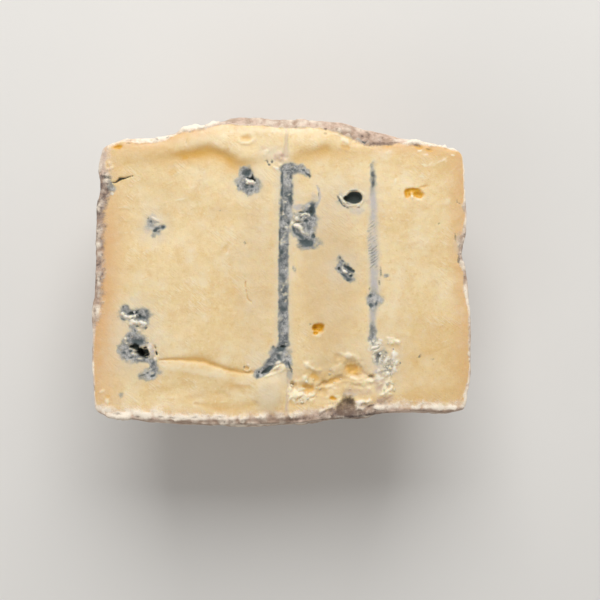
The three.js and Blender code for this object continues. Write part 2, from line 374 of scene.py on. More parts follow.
@dataclass
class Survey:
    """What the cut face holds at a set of points: heights in millimetres and shares from 0 to 1."""

    x: Array
    y: Array
    height: Array
    ragged: Array
    bent_x: Array
    bent_y: Array
    shares: dict[Tint, Array]

    @classmethod
    def bare(cls, x: Array, y: Array) -> "Survey":
        """A survey of bare paste.

        Args:
            x: Place across.
            y: Place along.

        Returns:
            The survey at those points.
        """
        ragged = Grain.layers(x, y, 71.0, 1.3)
        bent_x = x + 0.45 * Grain.layers(x, y, 51.0, 1.6) + 0.4 * Grain.lumps(x, y, 53.0, 4.0)
        bent_y = y + 0.45 * Grain.layers(x, y, 52.0, 1.6) + 0.4 * Grain.lumps(x, y, 54.0, 4.0)
        return cls(x, y, np.zeros_like(x), ragged, bent_x, bent_y, {tint: np.zeros_like(x) for tint in Tint})

    def bent(self, where: Array, share: float) -> tuple[Array, Array]:
        """Places of some points, bent by a share of the grain."""
        x, y, bent_x, bent_y = (values[where] for values in (self.x, self.y, self.bent_x, self.bent_y))
        return blend(x, bent_x, share), blend(y, bent_y, share)

    def paint(self, tint: Tint, share: Array, where: Any = slice(None)) -> None:
        """Lays a tint over what is there.

        Args:
            tint: The tint.
            share: How much of it, from 0 to 1.
            where: Which points it is laid on.
        """
        share = np.clip(share, 0.0, 1.0)
        kept = (tint, *GROUND, *UNDER.get(tint, ()))
        for other, value in self.shares.items():
            if tint not in GROUND and other not in kept:
                value[where] *= 1.0 - share
        self.shares[tint][where] += (1.0 - self.shares[tint][where]) * share


@dataclass(frozen=True)
class Patch:
    """A part of the cut face: its middle and its half widths."""

    x: float
    y: float
    rx: float
    ry: float

    def away(self, x: Array, y: Array) -> Array:
        """Distance from the middle, 1 at the rim."""
        return np.hypot((x - self.x) / self.rx, (y - self.y) / self.ry)

    def around(self, found: Survey, reach: float) -> Array:
        """Which points of a survey lie within a reach each way."""
        return np.flatnonzero((np.abs(found.x - self.x) < reach) & (np.abs(found.y - self.y) < reach))


@dataclass(frozen=True)
class Daub(Patch):
    """A spot of one tint on the cut face, with its rise in millimetres and its turn in degrees."""

    tint: Tint
    strength: float = 1.0
    rise: float = 0.0
    turn: float = 0.0

    def away(self, x: Array, y: Array) -> Array:
        """Distance from the middle of the turned spot.

        Args:
            x: Place across.
            y: Place along.

        Returns:
            The distance of each point, 1 at the rim.
        """
        angle = math.radians(self.turn)
        off_x, off_y = x - self.x, y - self.y
        across = (off_x * math.cos(angle) + off_y * math.sin(angle)) / self.rx
        along = (off_y * math.cos(angle) - off_x * math.sin(angle)) / self.ry
        return np.hypot(across, along)

    def lay(self, found: Survey) -> None:
        """Lays the spot on a survey, a small one with a cleaner edge than a large one.

        Args:
            found: The survey, changed in place.
        """
        size = math.sqrt(self.rx * self.ry)
        where = self.around(found, 1.9 * max(self.rx, self.ry) + 0.8)
        away = self.away(*found.bent(where, min(max(size / 2.2, 0.2), 1.0)))
        away = away + LOOSE.get(self.tint, 0.4) * min(max(size / 1.2, 0.35), 1.0) * found.ragged[where]
        near, far = SOFT.get(self.tint, (0.6, 1.2))
        steep = 0.6 * min(1.0, abs(self.rise) / 3.0)
        found.paint(self.tint, self.strength * fade(near, far, away), where)
        found.height[where] += self.rise * fade(steep, 1.15, away)


def daubs(tint: Tint, *rows: tuple[float, ...]) -> tuple[Daub, ...]:
    """Spots of one tint, from rows of place, half widths, strength, rise and turn."""
    return tuple(Daub(*row[:4], tint, *row[4:]) for row in rows)


@dataclass(frozen=True)
class Pit:
    """An open hole with a clean edge, from the spots that make up its mouth."""

    depth: float
    mouth: tuple[Daub, ...]
    bend: float = 0.15
    lip: float = 0.25

    def lay(self, found: Survey) -> None:
        """Lays the hole on a survey.

        Args:
            found: The survey, changed in place.
        """
        where = np.arange(len(found.x))
        away = np.minimum.reduce([spot.away(*found.bent(where, self.bend)) for spot in self.mouth])
        found.height += self.lip * np.exp(-(((away - 1.2) / 0.14) ** 2)) - self.depth * fade(0.6, 1.06, away)
        # Painted shade: the inside of the hole is laid dark for the shade of its depth
        found.paint(DARK, fade(0.86, 1.12, away))


# Spots of the cut face: a tint, then rows of place, half widths, strength, rise and turn
SPOT_TABLE = (
    # Upper pocket
    (PALE, (-10, 29.1, 4.4, 4.9, 0.8)),
    (MOULD, (-10.8, 31.3, 2.3, 2.3, 1, -0.4), (-10.7, 28.3, 3.2, 2.9, 1, -0.3),
     (-10, 26.3, 3.2, 1.7, 0.7, -0.1), (-7.3, 27.1, 1.9, 1.9, 0.4), (-9.8, 24.5, 1.2, 1, 0.4)),
    (MOSS, (-10.5, 31, 1.7, 1.5, 0.9, -0.5), (-10, 26.7, 2.2, 1, 0.4), (-11.6, 31.7, 0.6, 1.12, 0.5, -0.2),
     (-9.6, 31.9, 0.52, 0.86, 0.5, -0.2)),
    (DARK, (-11.3, 29.8, 0.63, 0.32, 0.7, -0.4, -10), (-10.5, 29.6, 0.71, 0.35, 0.9, -0.8, -20),
     (-9.6, 29.4, 0.75, 0.41, 1, -1.1), (-8.9, 29.6, 0.52, 0.63, 1, -1.1),
     (-8.5, 28.9, 0.83, 0.38, 1, -1.2, -50), (-8.9, 30.4, 0.35, 0.48, 0.8, -0.5)),
    (CHALK, (-10.9, 29, 0.43, 0.51, 1, 0.5), (-10.1, 28.5, 0.91, 0.63, 1, 0.7, -15),
     (-9, 28.4, 0.67, 0.56, 1, 0.6), (-9.6, 27.9, 1.19, 0.51, 0.9, 0.5),
     (-10.6, 27.9, 0.63, 0.48, 0.8, 0.4, -30), (-8.4, 27.9, 0.56, 0.32, 0.9, 0.4, 20),
     (-11.9, 28.8, 0.48, 0.48, 0.5, 0.2)),
    (MOSS, (-9.1, 26.8, 0.69, 0.48, 1, -0.4), (-10.8, 27.3, 0.69, 0.26, 0.8, -0.3, -10),
     (-11, 26.6, 1.04, 0.24, 0.8, -0.2, -20), (-9.3, 25.5, 0.52, 0.45, 0.6, -0.1),
     (-7.1, 26.2, 0.38, 0.73, 0.6), (-13.4, 27.1, 0.47, 0.81, 0.6, -0.1)),
    # Speck by the vein
    (MOSS, (-4.4, 34.4, 0.43, 0.79, 0.9, -0.2, 25), (-3.8, 33.5, 0.63, 0.48, 0.8, -0.2),
     (-3, 34.4, 0.52, 0.71, 0.8, -0.2)),
    # Paste beside the vein
    (PALE, (-2.7, 36.7, 3.6, 2.4, 0.9)),
    (WHITE, (-4.7, 37.5, 1.6, 1, 0.5, 0.2, 30)),
    (PINK, (-0.8, 36.3, 1.6, 1.6, 0.5, 0.3), (-5.5, 39.1, 1.2, 0.8, 0.3, 0.1)),
    # Faint pocket
    (PALE, (-39.5, 15, 4.5, 5.2, 0.8)),
    (LILAC, (-40.2, 15.9, 2.2, 2.6, 0.6), (-41.5, 13.6, 1.5, 1.9, 0.4)),
    (MOULD, (-39.5, 14.4, 2.4, 1.7, 0.6, -0.2, -20), (-40.8, 15.9, 1.2, 1.2, 0.6, -0.1),
     (-38.7, 12.9, 1.7, 1.2, 0.5, -0.1), (-36.9, 14.1, 1, 1, 0.7, -0.2), (-39.7, 11.4, 0.8, 0.8, 0.5)),
    (CHALK, (-39, 16.7, 1.77, 0.41, 0.9, 0.2, -35), (-38.7, 15, 1.12, 0.56, 0.6, 0.1)),
    (MOSS, (-41.8, 17.8, 0.49, 0.59, 0.5, 0, 15), (-41.4, 17.1, 0.45, 0.43, 0.7, -0.1),
     (-40.5, 16, 0.55, 0.49, 0.8, -0.1), (-38.3, 13.8, 0.94, 0.42, 0.8, -0.2),
     (-39.3, 13.2, 0.94, 0.63, 1, -0.2, 10), (-36.9, 14.1, 0.69, 0.63, 0.9, -0.2),
     (-38, 12.9, 0.69, 0.49, 0.6, -0.1)),
    (DARK, (-39.3, 13, 0.5, 0.34, 0.8, -0.2, 10)),
    # Left crack
    (MOULD, (-53.3, 27, 1, 1.7, 0.6), (-52.3, 26.2, 1, 1.3, 0.5)),
    (MOSS, (-53, 27.6, 0.57, 0.89, 0.5, -0.1), (-53.8, 25.6, 0.48, 0.95, 0.5, -0.1)),
    (CHALK, (-53.9, 27.5, 0.57, 0.57, 0.7, 0.2), (-52.7, 24.6, 1, 0.7, 0.9, 0.3, -20)),
    (DARK, (-53.9, 29.7, 1.6, 0.7, 0.6, -0.3, -8)),
    (WHITE, (-53.8, 34, 1.1, 1, 0.5, 0.3), (-52.7, 32.7, 0.8, 0.8, 0.5, 0.3),
     (-54.1, 32.1, 0.63, 0.48, 0.4, 0.2)),
    (GOLD, (-50.9, 39, 1.8, 0.7, 0.9, -0.4, 8)),
    (DEEP, (-50.6, 38.9, 2.4, 1.1, 0.9)),
    # Marks upper left
    # Painted shade: deep and golden tint that widens the shade below the roll
    (DEEP, (-42, 36.7, 10.5, 2.8, 0.6), (-29.3, 36.2, 9.2, 2.4, 0.8)),
    (GOLD, (-28.1, 36.9, 5.7, 1.2, 0.3)),
    (MOSS, (-18.8, 19.1, 1.4, 0.35, 0.4, -0.1, -25)),
    (DARK, (-11.3, 9.3, 0.44, 0.7, 0.5, -0.1)),
    (DEEP, (-19.4, 19.3, 2.6, 2.6, 0.5)),
    (GOLD, (-33.7, 31.4, 1.5, 1, 0.3, -0.1), (-30.1, 35.6, 1.09, 0.57, 0.5, -0.1)),
    (DEEP, (-17.4, 7.8, 0.61, 2.62, 0.7, -0.1, -40), (-50.3, 11.6, 1.1, 0.9, 0.5, -0.1),
     (-28.5, 23.3, 3.5, 1.3, 0.4, 0, 10), (-37.2, 19.3, 2.62, 0.7, 0.4)),
    (WHITE, (-16.9, 6, 0.39, 1.4, 0.7, 0.1, -40), (-27.7, 26.4, 2, 1.1, 0.5, 0.1, 20),
     (-34.9, 28, 2.62, 0.35, 0.5, 0.1, 25), (-16.2, 21.1, 1.7, 1.2, 0.4, 0.1),
     (-33.7, 22.4, 4.8, 0.35, 0.5, 0.1, 10), (-30.5, 23.1, 2.62, 0.31, 0.5, 0.1, 12),
     (-49.5, 20.3, 2.18, 0.52, 0.5, 0.1), (-23.4, 28.4, 1.92, 0.39, 0.5, 0.1, 30),
     (-20.6, 29.2, 1.57, 0.35, 0.5, 0.1, 30)),
    (DARK, (-29.6, 40.9, 0.26, 1.48, 0.4, -0.2)),
    (WHITE, (-49.1, 41.1, 1.83, 0.61, 0.8, 0.4, 10), (-44.8, 41.6, 1.83, 0.52, 0.8, 0.4),
     (-40.4, 42.2, 1.57, 0.44, 0.7, 0.3, 8), (-33.3, 44, 1.83, 0.7, 0.8, 0.5, 15),
     (-29.7, 44.4, 1.4, 0.52, 0.7, 0.3), (-26.1, 45.2, 1.66, 0.52, 0.8, 0.4, 10),
     (-21, 46.7, 1.83, 0.44, 0.7, 0.3)),
    # Painted shade: brown in the gaps between the rim's knobs
    (BROWN, (-47.4, 40.4, 1.05, 0.39, 0.5, -0.2), (-42.6, 40.8, 1.13, 0.39, 0.4, -0.2),
     (-38.8, 41.4, 0.96, 0.35, 0.5, -0.2), (-35.3, 42.5, 1.05, 0.57, 0.7, -0.3, 30),
     (-31.9, 43.3, 1.05, 0.39, 0.4, -0.2, 10), (-28.1, 43.9, 1.05, 0.44, 0.4, -0.2, 10),
     (-23.6, 45.1, 0.96, 0.52, 0.5, -0.2, 20)),
    (WHITE, (-8.3, 44.1, 10.5, 1.9, 0.5), (-21.4, 44.7, 5.2, 1.3, 0.4, 0, 15)),
    (BROWN, (-16.2, 46.9, 1.05, 0.61, 0.7, -0.2), (-12.1, 47.3, 0.61, 0.61, 0.5, -0.2),
     (-8.7, 46.7, 0.61, 0.7, 0.5, -0.2), (-0.8, 46.3, 1.13, 0.61, 0.6, -0.2)),
    (WHITE, (-18, 42.3, 1.7, 1, 0.5, 0.1), (-38.8, 21.7, 1.05, 0.31, 0.4, 0.1, -20),
     (-25.3, 30.8, 1.31, 0.26, 0.4, 0.1, 35)),
    # Hook
    (PINK, (-0.1, 35.2, 1, 0.8, 0.3, 0.2)),
    (CHALK, (-1.3, 32.4, 0.79, 0.52, 0.7, 0.2), (-2.3, 32.8, 0.79, 0.59, 0.6, 0.2)),
    (WHITE, (-0.1, 33.6, 1.2, 0.7, 0.6, 0.2)),
    (LILAC, (4.4, 33.2, 3, 1.2, 0.8, 0, -8)),
    (MOULD, (2.4, 32.8, 2.3, 1.3, 0.9, -0.1), (5, 32.4, 3.1, 1.4, 1, -0.1, -8),
     (7.4, 31.6, 2.1, 1.2, 1, -0.1, -35)),
    (MOSS, (3.8, 32.2, 0.98, 0.36, 0.9, -0.1, -15), (2.2, 32, 0.98, 0.27, 0.8),
     (5.4, 31.6, 1.64, 0.31, 1, -0.1), (6.8, 32, 1.2, 0.31, 1, -0.1, -25),
     (8, 30.8, 1.47, 0.33, 1, -0.2, -42), (8.7, 30.2, 0.49, 0.76, 1, -0.1, 15),
     (3.2, 34, 0.71, 0.49, 0.6)),
    (CHALK, (3, 32.9, 0.99, 0.28, 0.5, 0.1, 20), (6, 32.6, 1.19, 0.28, 0.5, 0.1, -10),
     (0.3, 32.7, 0.44, 0.83, 0.6, 0.1, 30)),
    # Flecks of the vein
    (MOSS, (0.3, 31.6, 0.24, 2.18, 0.6), (0.2, 25.5, 0.24, 2.97, 0.6), (3, 29.8, 0.48, 0.87, 0.6, -0.2)),
    (CHALK, (1.4, 30.3, 0.8, 0.9, 0.4, 0.1), (1.8, 27.1, 1, 0.8, 0.4, 0.1)),
    (MOSS, (3.3, 27.1, 0.44, 0.99, 0.5), (1.4, 24.7, 0.99, 0.32, 0.6, -0.1, 25),
     (3, 24.7, 0.67, 0.4, 0.6, -0.1, -30)),
    (CHALK, (2.4, 24.3, 0.87, 0.32, 0.6, 0.1, 30), (1.2, 23.3, 0.99, 0.32, 0.5, 0.1, -20)),
    (MOSS, (3, 22.3, 1, 1.4, 0.5, -0.1)),
    (DARK, (3.2, 20.9, 0.4, 0.79, 0.3, -0.1)),
    (MOSS, (1.2, 20.3, 0.32, 2.18, 0.6, -0.1)),
    (CHALK, (0.6, 20.7, 0.32, 1.78, 0.4, 0.1), (2.4, 19.7, 0.59, 0.99, 0.3)),
    (MOSS, (0.2, 18.4, 0.32, 2.97, 0.5)),
    (CHALK, (1.2, 17.2, 0.8, 0.8, 0.4, 0.1)),
    (DARK, (2.1, 15.5, 0.67, 0.4, 0.7, -0.2, -20), (0.7, 13.6, 0.52, 0.79, 0.7, -0.2, 25)),
    (CHALK, (1.6, 14, 0.4, 1.19, 0.4, 0.1, 10)),
    (MOSS, (1.4, 11.4, 0.59, 1.19, 0.5)),
    (CHALK, (1, 9.7, 0.71, 0.59, 0.7, 0.2)),
    (MOSS, (-0.5, 10.4, 0.28, 3.37, 0.6), (1.8, 8.8, 0.99, 0.28, 0.5)),
    (CHALK, (0.1, 12.4, 0.28, 1.19, 0.3)),
    # Cluster beside the vein
    (PALE, (7.2, 15.8, 6.5, 8.3, 0.7)),
    (LILAC, (5.4, 20.3, 2.2, 1.2, 0.7), (10.4, 23.5, 1.6, 1.4, 0.4)),
    (MOSS, (11.7, 24.5, 0.18, 2.43, 0.7)),
    (MOULD, (9, 20.3, 2.8, 1.8, 0.9, -0.2, 35), (7.6, 16.8, 3.6, 2.8, 0.8, -0.3),
     (8.6, 14.4, 2.3, 2.5, 0.9, -0.2), (7.8, 11, 4.6, 2.5, 1, -0.3, -25), (5, 13, 2.5, 1.8, 1, -0.2, -35),
     (7.4, 8.4, 3, 1.5, 0.6, -0.1)),
    (MOSS, (9.4, 19.7, 1.2, 1.6, 1, -0.3, -20), (10, 21.3, 0.9, 1, 0.7, -0.1),
     (9.2, 18.4, 0.8, 1.2, 1, -0.4), (7.6, 16, 0.97, 0.57, 0.7, -0.3), (8.2, 14.2, 0.66, 1.54, 0.6, 0, 20),
     (6.2, 11.2, 2.6, 0.8, 0.8, -0.2, -32), (7.6, 9.7, 2.8, 1.4, 1, -0.2, -10),
     (10, 11.4, 0.8, 1.1, 1, -0.3), (3.8, 13.2, 0.7, 1.4, 0.8, -0.2, 20),
     (5.2, 11.8, 1.76, 0.53, 0.8, 0, -35), (6.4, 8.2, 1.98, 0.53, 0.6, 0, 10), (8.8, 8.8, 1.3, 0.9, 0.6)),
    (DARK, (6.2, 18.8, 1.27, 0.26, 1, -0.5), (8, 19, 0.63, 0.44, 1, -0.6, -10),
     (9.2, 18.6, 0.56, 0.87, 0.9, -0.5), (9.5, 19.7, 0.44, 0.63, 0.7, -0.3),
     (6, 17.2, 0.34, 0.71, 0.8, -0.4), (5.2, 15.7, 1.27, 0.26, 1, -0.8),
     (4.4, 15.1, 0.75, 0.26, 0.9, -0.5, -25), (6.6, 14.7, 0.26, 0.99, 0.8, -0.4, 35),
     (7.4, 16, 0.71, 0.2, 0.7, -0.3), (10.2, 11.3, 0.34, 0.52, 0.8, -0.2),
     (4, 18.4, 0.48, 0.71, 0.5, 0, -20), (6.4, 9.8, 1.39, 0.28, 0.5, -0.1, -20)),
    (CHALK, (6.4, 17.9, 0.91, 0.36, 1, 0.4, 30), (7.6, 18.3, 0.91, 0.34, 1, 0.4, -10),
     (8.6, 17.9, 0.52, 0.71, 0.8, 0.3), (6.4, 16.6, 0.34, 0.52, 0.7, 0.2),
     (7.5, 17.1, 0.52, 0.3, 0.7, 0.2, 20), (4.8, 16.8, 0.8, 0.8, 0.8, 0.3),
     (5.5, 14, 1.9, 0.9, 1, 0.6, -36), (4.4, 14.4, 0.91, 0.56, 1, 0.5, -30),
     (6.6, 12.6, 1.2, 0.7, 0.9, 0.4, -35), (8.1, 12, 1.07, 0.67, 0.6, 0.2, -20),
     (3.2, 15.4, 0.59, 0.59, 0.6, 0.2), (8.6, 20.7, 0.71, 0.48, 0.7, 0.2, 30)),
    # Round hole
    (PALE, (22, 22.5, 7, 4.7, 0.8)),
    (LILAC, (23.4, 19.2, 2.6, 1.2, 0.4)),
    (MOULD, (21.3, 22.7, 4.2, 2.8, 0.4)),
    (MOSS, (17.9, 23, 0.3, 1.12, 0.9, -0.2, 20), (18.6, 21.6, 0.33, 0.89, 0.9, -0.2, 30),
     (19.5, 20.7, 0.75, 0.3, 1, -0.2, -20), (21, 20.2, 1.26, 0.19, 0.6),
     (23.8, 20.2, 0.98, 0.21, 0.7, 0, 10)),
    (MOULD, (22.5, 25.6, 2.11, 0.23, 0.5)),
    (PINK, (27.1, 22, 0.7, 1, 0.4)),
    (CHALK, (18.6, 23.2, 0.35, 1.08, 1, 0.3, 35), (19.5, 22, 1.03, 0.3, 1, 0.3, -38),
     (21.3, 20.9, 1.73, 0.28, 0.9, 0.3, -8), (23.9, 20.7, 0.98, 0.3, 0.9, 0.3, 22),
     (24.9, 21.6, 0.28, 0.84, 0.6, 0.2, -25), (19.7, 24, 0.94, 0.28, 0.6, 0.2, 35)),
    # Wide golden hole, its gold a painted glow of light scattered in the paste
    (GOLD, (41.2, 25.6, 2.8, 0.8, 1, -0.5), (39.3, 24.7, 1.3, 1.6, 1, -0.6),
     (42.8, 24.3, 2.1, 1.2, 1, -0.8), (44.2, 26.7, 1.9, 0.69, 0.4, -0.2, 10)),
    (WHITE, (40.7, 23.5, 0.55, 0.97, 1, 0.5, 8), (42.6, 22.6, 2.24, 0.45, 0.6, 0.1),
     (37.9, 23.8, 0.45, 1.21, 0.5, 0.1)),
    # Amber under the upper edge
    (DEEP, (42.6, 39.3, 2.3, 1.2, 1, 0, -20)),
    (GOLD, (42.6, 39.4, 1.7, 0.8, 0.8, -0.2, -20)),
    (BROWN, (42.4, 39.7, 1.59, 0.53, 0.6, -0.1, -15)),
    (DEEP, (46.1, 38, 2.3, 1, 1, 0, -15)),
    (GOLD, (45.9, 38.1, 1.52, 0.57, 0.7, -0.2, -15)),
    (BROWN, (45.9, 38.4, 1.33, 0.34, 0.5, 0, -15)),
    (DEEP, (32.9, 39.5, 2.3, 0.8)),
    (GOLD, (32.9, 39.5, 1.59, 0.49, 0.6, -0.2)),
    (BROWN, (33.3, 39.9, 1.52, 0.34, 0.4)),
    (DEEP, (48.6, 37.1, 2.5, 1.1, 0.7, 0, -20), (44, 31.9, 2.8, 1.1, 0.6)),
    (WHITE, (43, 38, 1.18, 0.42, 0.9, 0.1, 10), (45.1, 36.9, 1.03, 0.46, 0.8, 0.1),
     (53.4, 36.6, 0.99, 0.49, 1, 0.1), (51, 34.8, 1.18, 0.38, 0.9, 0.1, -15),
     (44.7, 33.8, 1.59, 0.38, 0.8, 0.1), (46.9, 34.3, 1.14, 0.34, 0.6, 0.1, 25),
     (44.2, 29.7, 1.8, 0.49, 0.9, 0.1, -20), (33.3, 37.4, 1.9, 0.9, 0.6, 0.1, 10),
     (35.4, 28.8, 0.84, 0.49, 0.5, 0.1, 40)),
    # Dots of the second vein
    (MOSS, (28, 33, 0.53, 0.8, 0.6, -0.1)),
    (MOULD, (28.3, 29.2, 1.3, 4.6, 0.5)),
    (MOSS, (28.3, 30.4, 0.8, 1.6, 0.7, -0.2), (28.5, 27.6, 0.67, 1.33, 0.7, -0.2)),
    # Marks upper right
    (DARK, (55.4, 21.7, 1.22, 0.39, 0.5, -0.1, -15), (54.7, 22.4, 0.39, 0.79, 0.5, -0.1)),
    (WHITE, (56.8, 20.5, 0.8, 1.6, 0.5, 0.1)),
    (DARK, (54.1, 11, 0.52, 1.96, 0.6, -0.2, 10)),
    (PALE, (55.2, 8.6, 1.7, 2.6, 0.5)),
    (LILAC, (55.2, 10.6, 1.1, 2.2, 0.4, 0, 10)),
    (DARK, (55.4, 4.2, 0.61, 1.75, 0.6, -0.1)),
    (MOSS, (49, 15.2, 0.79, 0.35, 0.6, -0.1, -30)),
    (WHITE, (4.8, 44.1, 9.2, 1.9, 0.5), (19.5, 41.1, 2.2, 0.8, 0.7, 0.3, -20),
     (17.9, 42.5, 2.62, 0.52, 0.5, 0.2, -25)),
    (GOLD, (19.7, 39, 1.9, 1, 0.4, -0.2, -15)),
    (DEEP, (19.1, 37.5, 3.1, 0.9, 0.5, -0.1, -15)),
    (PINK, (0, 36.9, 0.9, 1, 0.3, 0.1)),
    (BROWN, (25, 42.7, 3.5, 2.6, 0.4, -0.2, -15)),
    (MOULD, (25, 42.3, 1.9, 2, 0.4, -0.1)),
    (DARK, (25.8, 40.9, 0.87, 0.61, 0.7, -0.3), (26.4, 43.5, 0.52, 1.13, 0.6, -0.1)),
    (BROWN, (29.8, 40.9, 2.6, 1.5, 0.5, -0.1), (32.2, 40.5, 4.2, 1.2, 0.6, -0.1),
     (4.3, 45.7, 0.57, 1.22, 0.7, -0.3), (9, 46.3, 0.57, 1.13, 0.7, -0.3),
     (13.7, 45.3, 0.7, 1.48, 0.8, -0.3), (17.2, 45.2, 0.8, 1.3, 0.7, -0.3),
     (-0.8, 46.2, 1.13, 0.52, 0.5, -0.1), (13.7, 43.3, 0.61, 0.52, 0.5, -0.1),
     (21.4, 43.1, 0.9, 1, 0.5, -0.2)),
    (CHALK, (23.4, 43.7, 1.3, 0.9, 0.4, 0.1)),
    # Pale streaks of paste, with painted highlights along the knife's creases
    (WHITE, (43.7, 30.4, 1.3, 1, 0.4, 0.1, 20), (37.3, 9.8, 1.92, 0.39, 0.5, 0.1, -20),
     (42.9, 8, 2.36, 0.35, 0.4, 0.1, -15), (45.2, 9, 0.44, 1.75, 0.3, 0.1, -30),
     (40.1, 15.3, 2.79, 0.39, 0.4, 0.1, 52), (37.9, 12.3, 2.62, 0.39, 0.4, 0.1, 48),
     (46, 10.6, 3.93, 0.35, 0.4, 0.1, 52), (49.6, 15.3, 3.05, 0.35, 0.3, 0, 52),
     (49.6, 34.8, 4.36, 0.48, 0.5, 0.1, 32), (45.2, 33.2, 2.62, 0.48, 0.5, 0.1, 20),
     (53.4, 32, 3.49, 0.39, 0.4, 0.1, 45), (50.8, 28, 3.05, 0.39, 0.4, 0, 45),
     (35.3, 28.2, 2.18, 0.48, 0.4, 0.1, 58), (49.2, 21.3, 6.5, 3.9, 0.3),
     (51.6, 22.1, 1.7, 1, 0.4, 0.1, 30), (32.2, 25.2, 1.6, 2.6, 0.3)),
    (DEEP, (53.6, 14.9, 2.18, 0.52, 0.4, 0, 52), (55.4, 16.5, 1.92, 0.44, 0.4, 0, 55),
     (41.3, 32.8, 3.93, 0.7, 0.4, 0, 10), (46.8, 37.9, 3.9, 0.8, 0.5, 0, -12),
     (50.8, 32.4, 2.62, 0.44, 0.3, 0, 38), (38.1, 11, 1.5, 0.8, 0.5, -0.1, 10)),
    (WHITE, (36.1, 11.4, 0.39, 1.31, 0.4, 0.1, 30)),
    # Slanted pocket
    (PALE, (19.9, 1.4, 4.9, 4.9, 0.8)),
    (MOULD, (18.3, 2.6, 1.2, 2.4, 0.9, -0.2, 10), (20, 0.4, 3.2, 2.1, 1, -0.4, -35),
     (21.1, -1.7, 1.6, 1.6, 0.8, -0.2)),
    (MOSS, (18.2, 4.5, 0.46, 0.68, 0.9, -0.1), (19.1, 3.6, 0.93, 0.32, 0.8, -0.1, -30),
     (18.6, 2.6, 0.58, 0.97, 0.5), (21.3, 1.3, 1.75, 0.58, 1, -0.4, -25),
     (19.2, -0.6, 1.56, 0.46, 0.9, -0.2, -35), (20.9, -2.1, 1.1, 0.8, 0.9, -0.2),
     (22.3, 0.4, 0.63, 0.63, 0.9, -0.3), (21.7, -0.8, 0.78, 0.63, 0.8, -0.2)),
    (DARK, (17.9, 1.3, 0.49, 0.66, 1, -0.5), (20, 1.8, 0.75, 0.33, 1, -0.5, -30),
     (21.3, 0.8, 1.08, 0.33, 1, -0.6, -30), (22.4, 0.6, 0.4, 0.52, 0.8, -0.3),
     (21.7, -1, 0.66, 0.33, 0.9, -0.3, 10), (20.6, -2.5, 0.61, 0.4, 0.7, -0.1)),
    (CHALK, (19.8, 0.4, 1.26, 0.63, 1, 0.6, -32), (18.9, 1.6, 0.47, 0.89, 0.7, 0.2, 10),
     (21.3, -0.4, 0.59, 0.37, 0.8, 0.3, 20), (19.2, 2.8, 0.4, 0.49, 0.6, 0.2)),
    # Left crumbs
    (PALE, (-45.5, -13.5, 6.1, 5.1, 0.8), (-45.1, -25.2, 8, 7.2, 0.8)),
    (MOULD, (-48.7, -11.9, 1.9, 2, 0.7, -0.2), (-45.3, -13, 4.8, 2.4, 0.7, -0.3),
     (-43.1, -13.5, 1.6, 1.9, 0.8, -0.3), (-43.1, -16.4, 1.9, 1.4, 0.5),
     (-46.1, -17.7, 1.4, 1.9, 0.7, -0.1)),
    (MOSS, (-49.3, -10.7, 0.46, 0.55, 0.8, -0.1), (-48.6, -12.1, 1.26, 0.51, 0.6, -0.2, -10),
     (-45.8, -12.3, 2.13, 0.65, 1, -0.5, 8), (-44, -13.5, 0.7, 1.1, 0.9, -0.5, 10),
     (-43, -13.8, 1, 0.9, 0.6, -0.3), (-42.1, -12.1, 0.55, 0.61, 0.7, -0.1),
     (-49.2, -14.5, 1.26, 0.34, 0.7, -0.1, -30), (-44.9, -16.7, 0.75, 0.44, 0.9, -0.3),
     (-42, -17.2, 0.75, 0.61, 0.9, -0.2, 20), (-45.5, -18.1, 0.39, 0.89, 0.8, -0.2, 15)),
    (DARK, (-46.9, -12.7, 1.09, 0.36, 1, -0.5, 10), (-45.6, -12.5, 0.92, 0.32, 1, -0.5, 20),
     (-44.7, -11.7, 1.02, 0.24, 0.7, -0.2, 10), (-44.1, -13.6, 0.34, 0.72, 0.7, -0.3, 15)),
    (CHALK, (-49.4, -12.8, 0.8, 0.7, 1, 0.5), (-48.5, -13.5, 0.92, 0.65, 1, 0.5, -20),
     (-47, -13.8, 1.06, 0.65, 1, 0.6), (-45.4, -13.5, 0.8, 0.7, 1, 0.6),
     (-45.8, -15.2, 1.3, 0.9, 1, 0.7, -25), (-46.7, -15.9, 0.85, 0.68, 0.8, 0.4),
     (-43.8, -15.5, 0.9, 0.8, 1, 0.6), (-42.6, -15.9, 0.89, 0.61, 1, 0.5, -10),
     (-43.2, -16.6, 1.09, 0.51, 0.8, 0.4, 10), (-44.3, -17.9, 0.68, 0.44, 0.6, 0.2),
     (-47, -17.9, 0.9, 0.9, 0.5, 0.1)),
    # Left hole
    (MOULD, (-45.3, -21.1, 3.6, 2.5, 1, -0.4), (-47, -20.8, 1.5, 2.3, 0.8, -0.2),
     (-48.7, -23.5, 2.3, 2.3, 0.8, -0.2), (-47.2, -25.9, 3.5, 2.1, 0.9, -0.3),
     (-43.8, -26.8, 2.5, 1.2, 0.6), (-41.1, -27.4, 2.3, 1.4, 0.8, -0.2, -20),
     (-39.6, -29.1, 1.4, 1.8, 0.9, -0.2), (-40.7, -31.3, 3.1, 1.8, 0.8, -0.2, 20),
     (-42.4, -32.6, 2.3, 1.2, 0.4)),
    (MOSS, (-47.5, -19.8, 0.48, 0.59, 0.7), (-48, -21.3, 0.46, 0.7, 0.7),
     (-45.1, -21.7, 2.2, 1.3, 0.7, -0.3), (-43.4, -21.1, 0.55, 1.14, 0.6),
     (-47, -24.5, 0.85, 0.46, 1, -0.3, 20), (-49, -25, 0.7, 0.35, 0.9),
     (-46.8, -26.5, 1.18, 0.39, 0.9, -0.2, 15), (-39.9, -28.1, 0.9, 0.7, 0.7), (-41.7, -31.2, 0.52, 0.44),
     (-43.1, -31.9, 1.18, 0.31, 0.9, 0, 15), (-40.1, -32.1, 0.85, 0.39, 1, 0, 20),
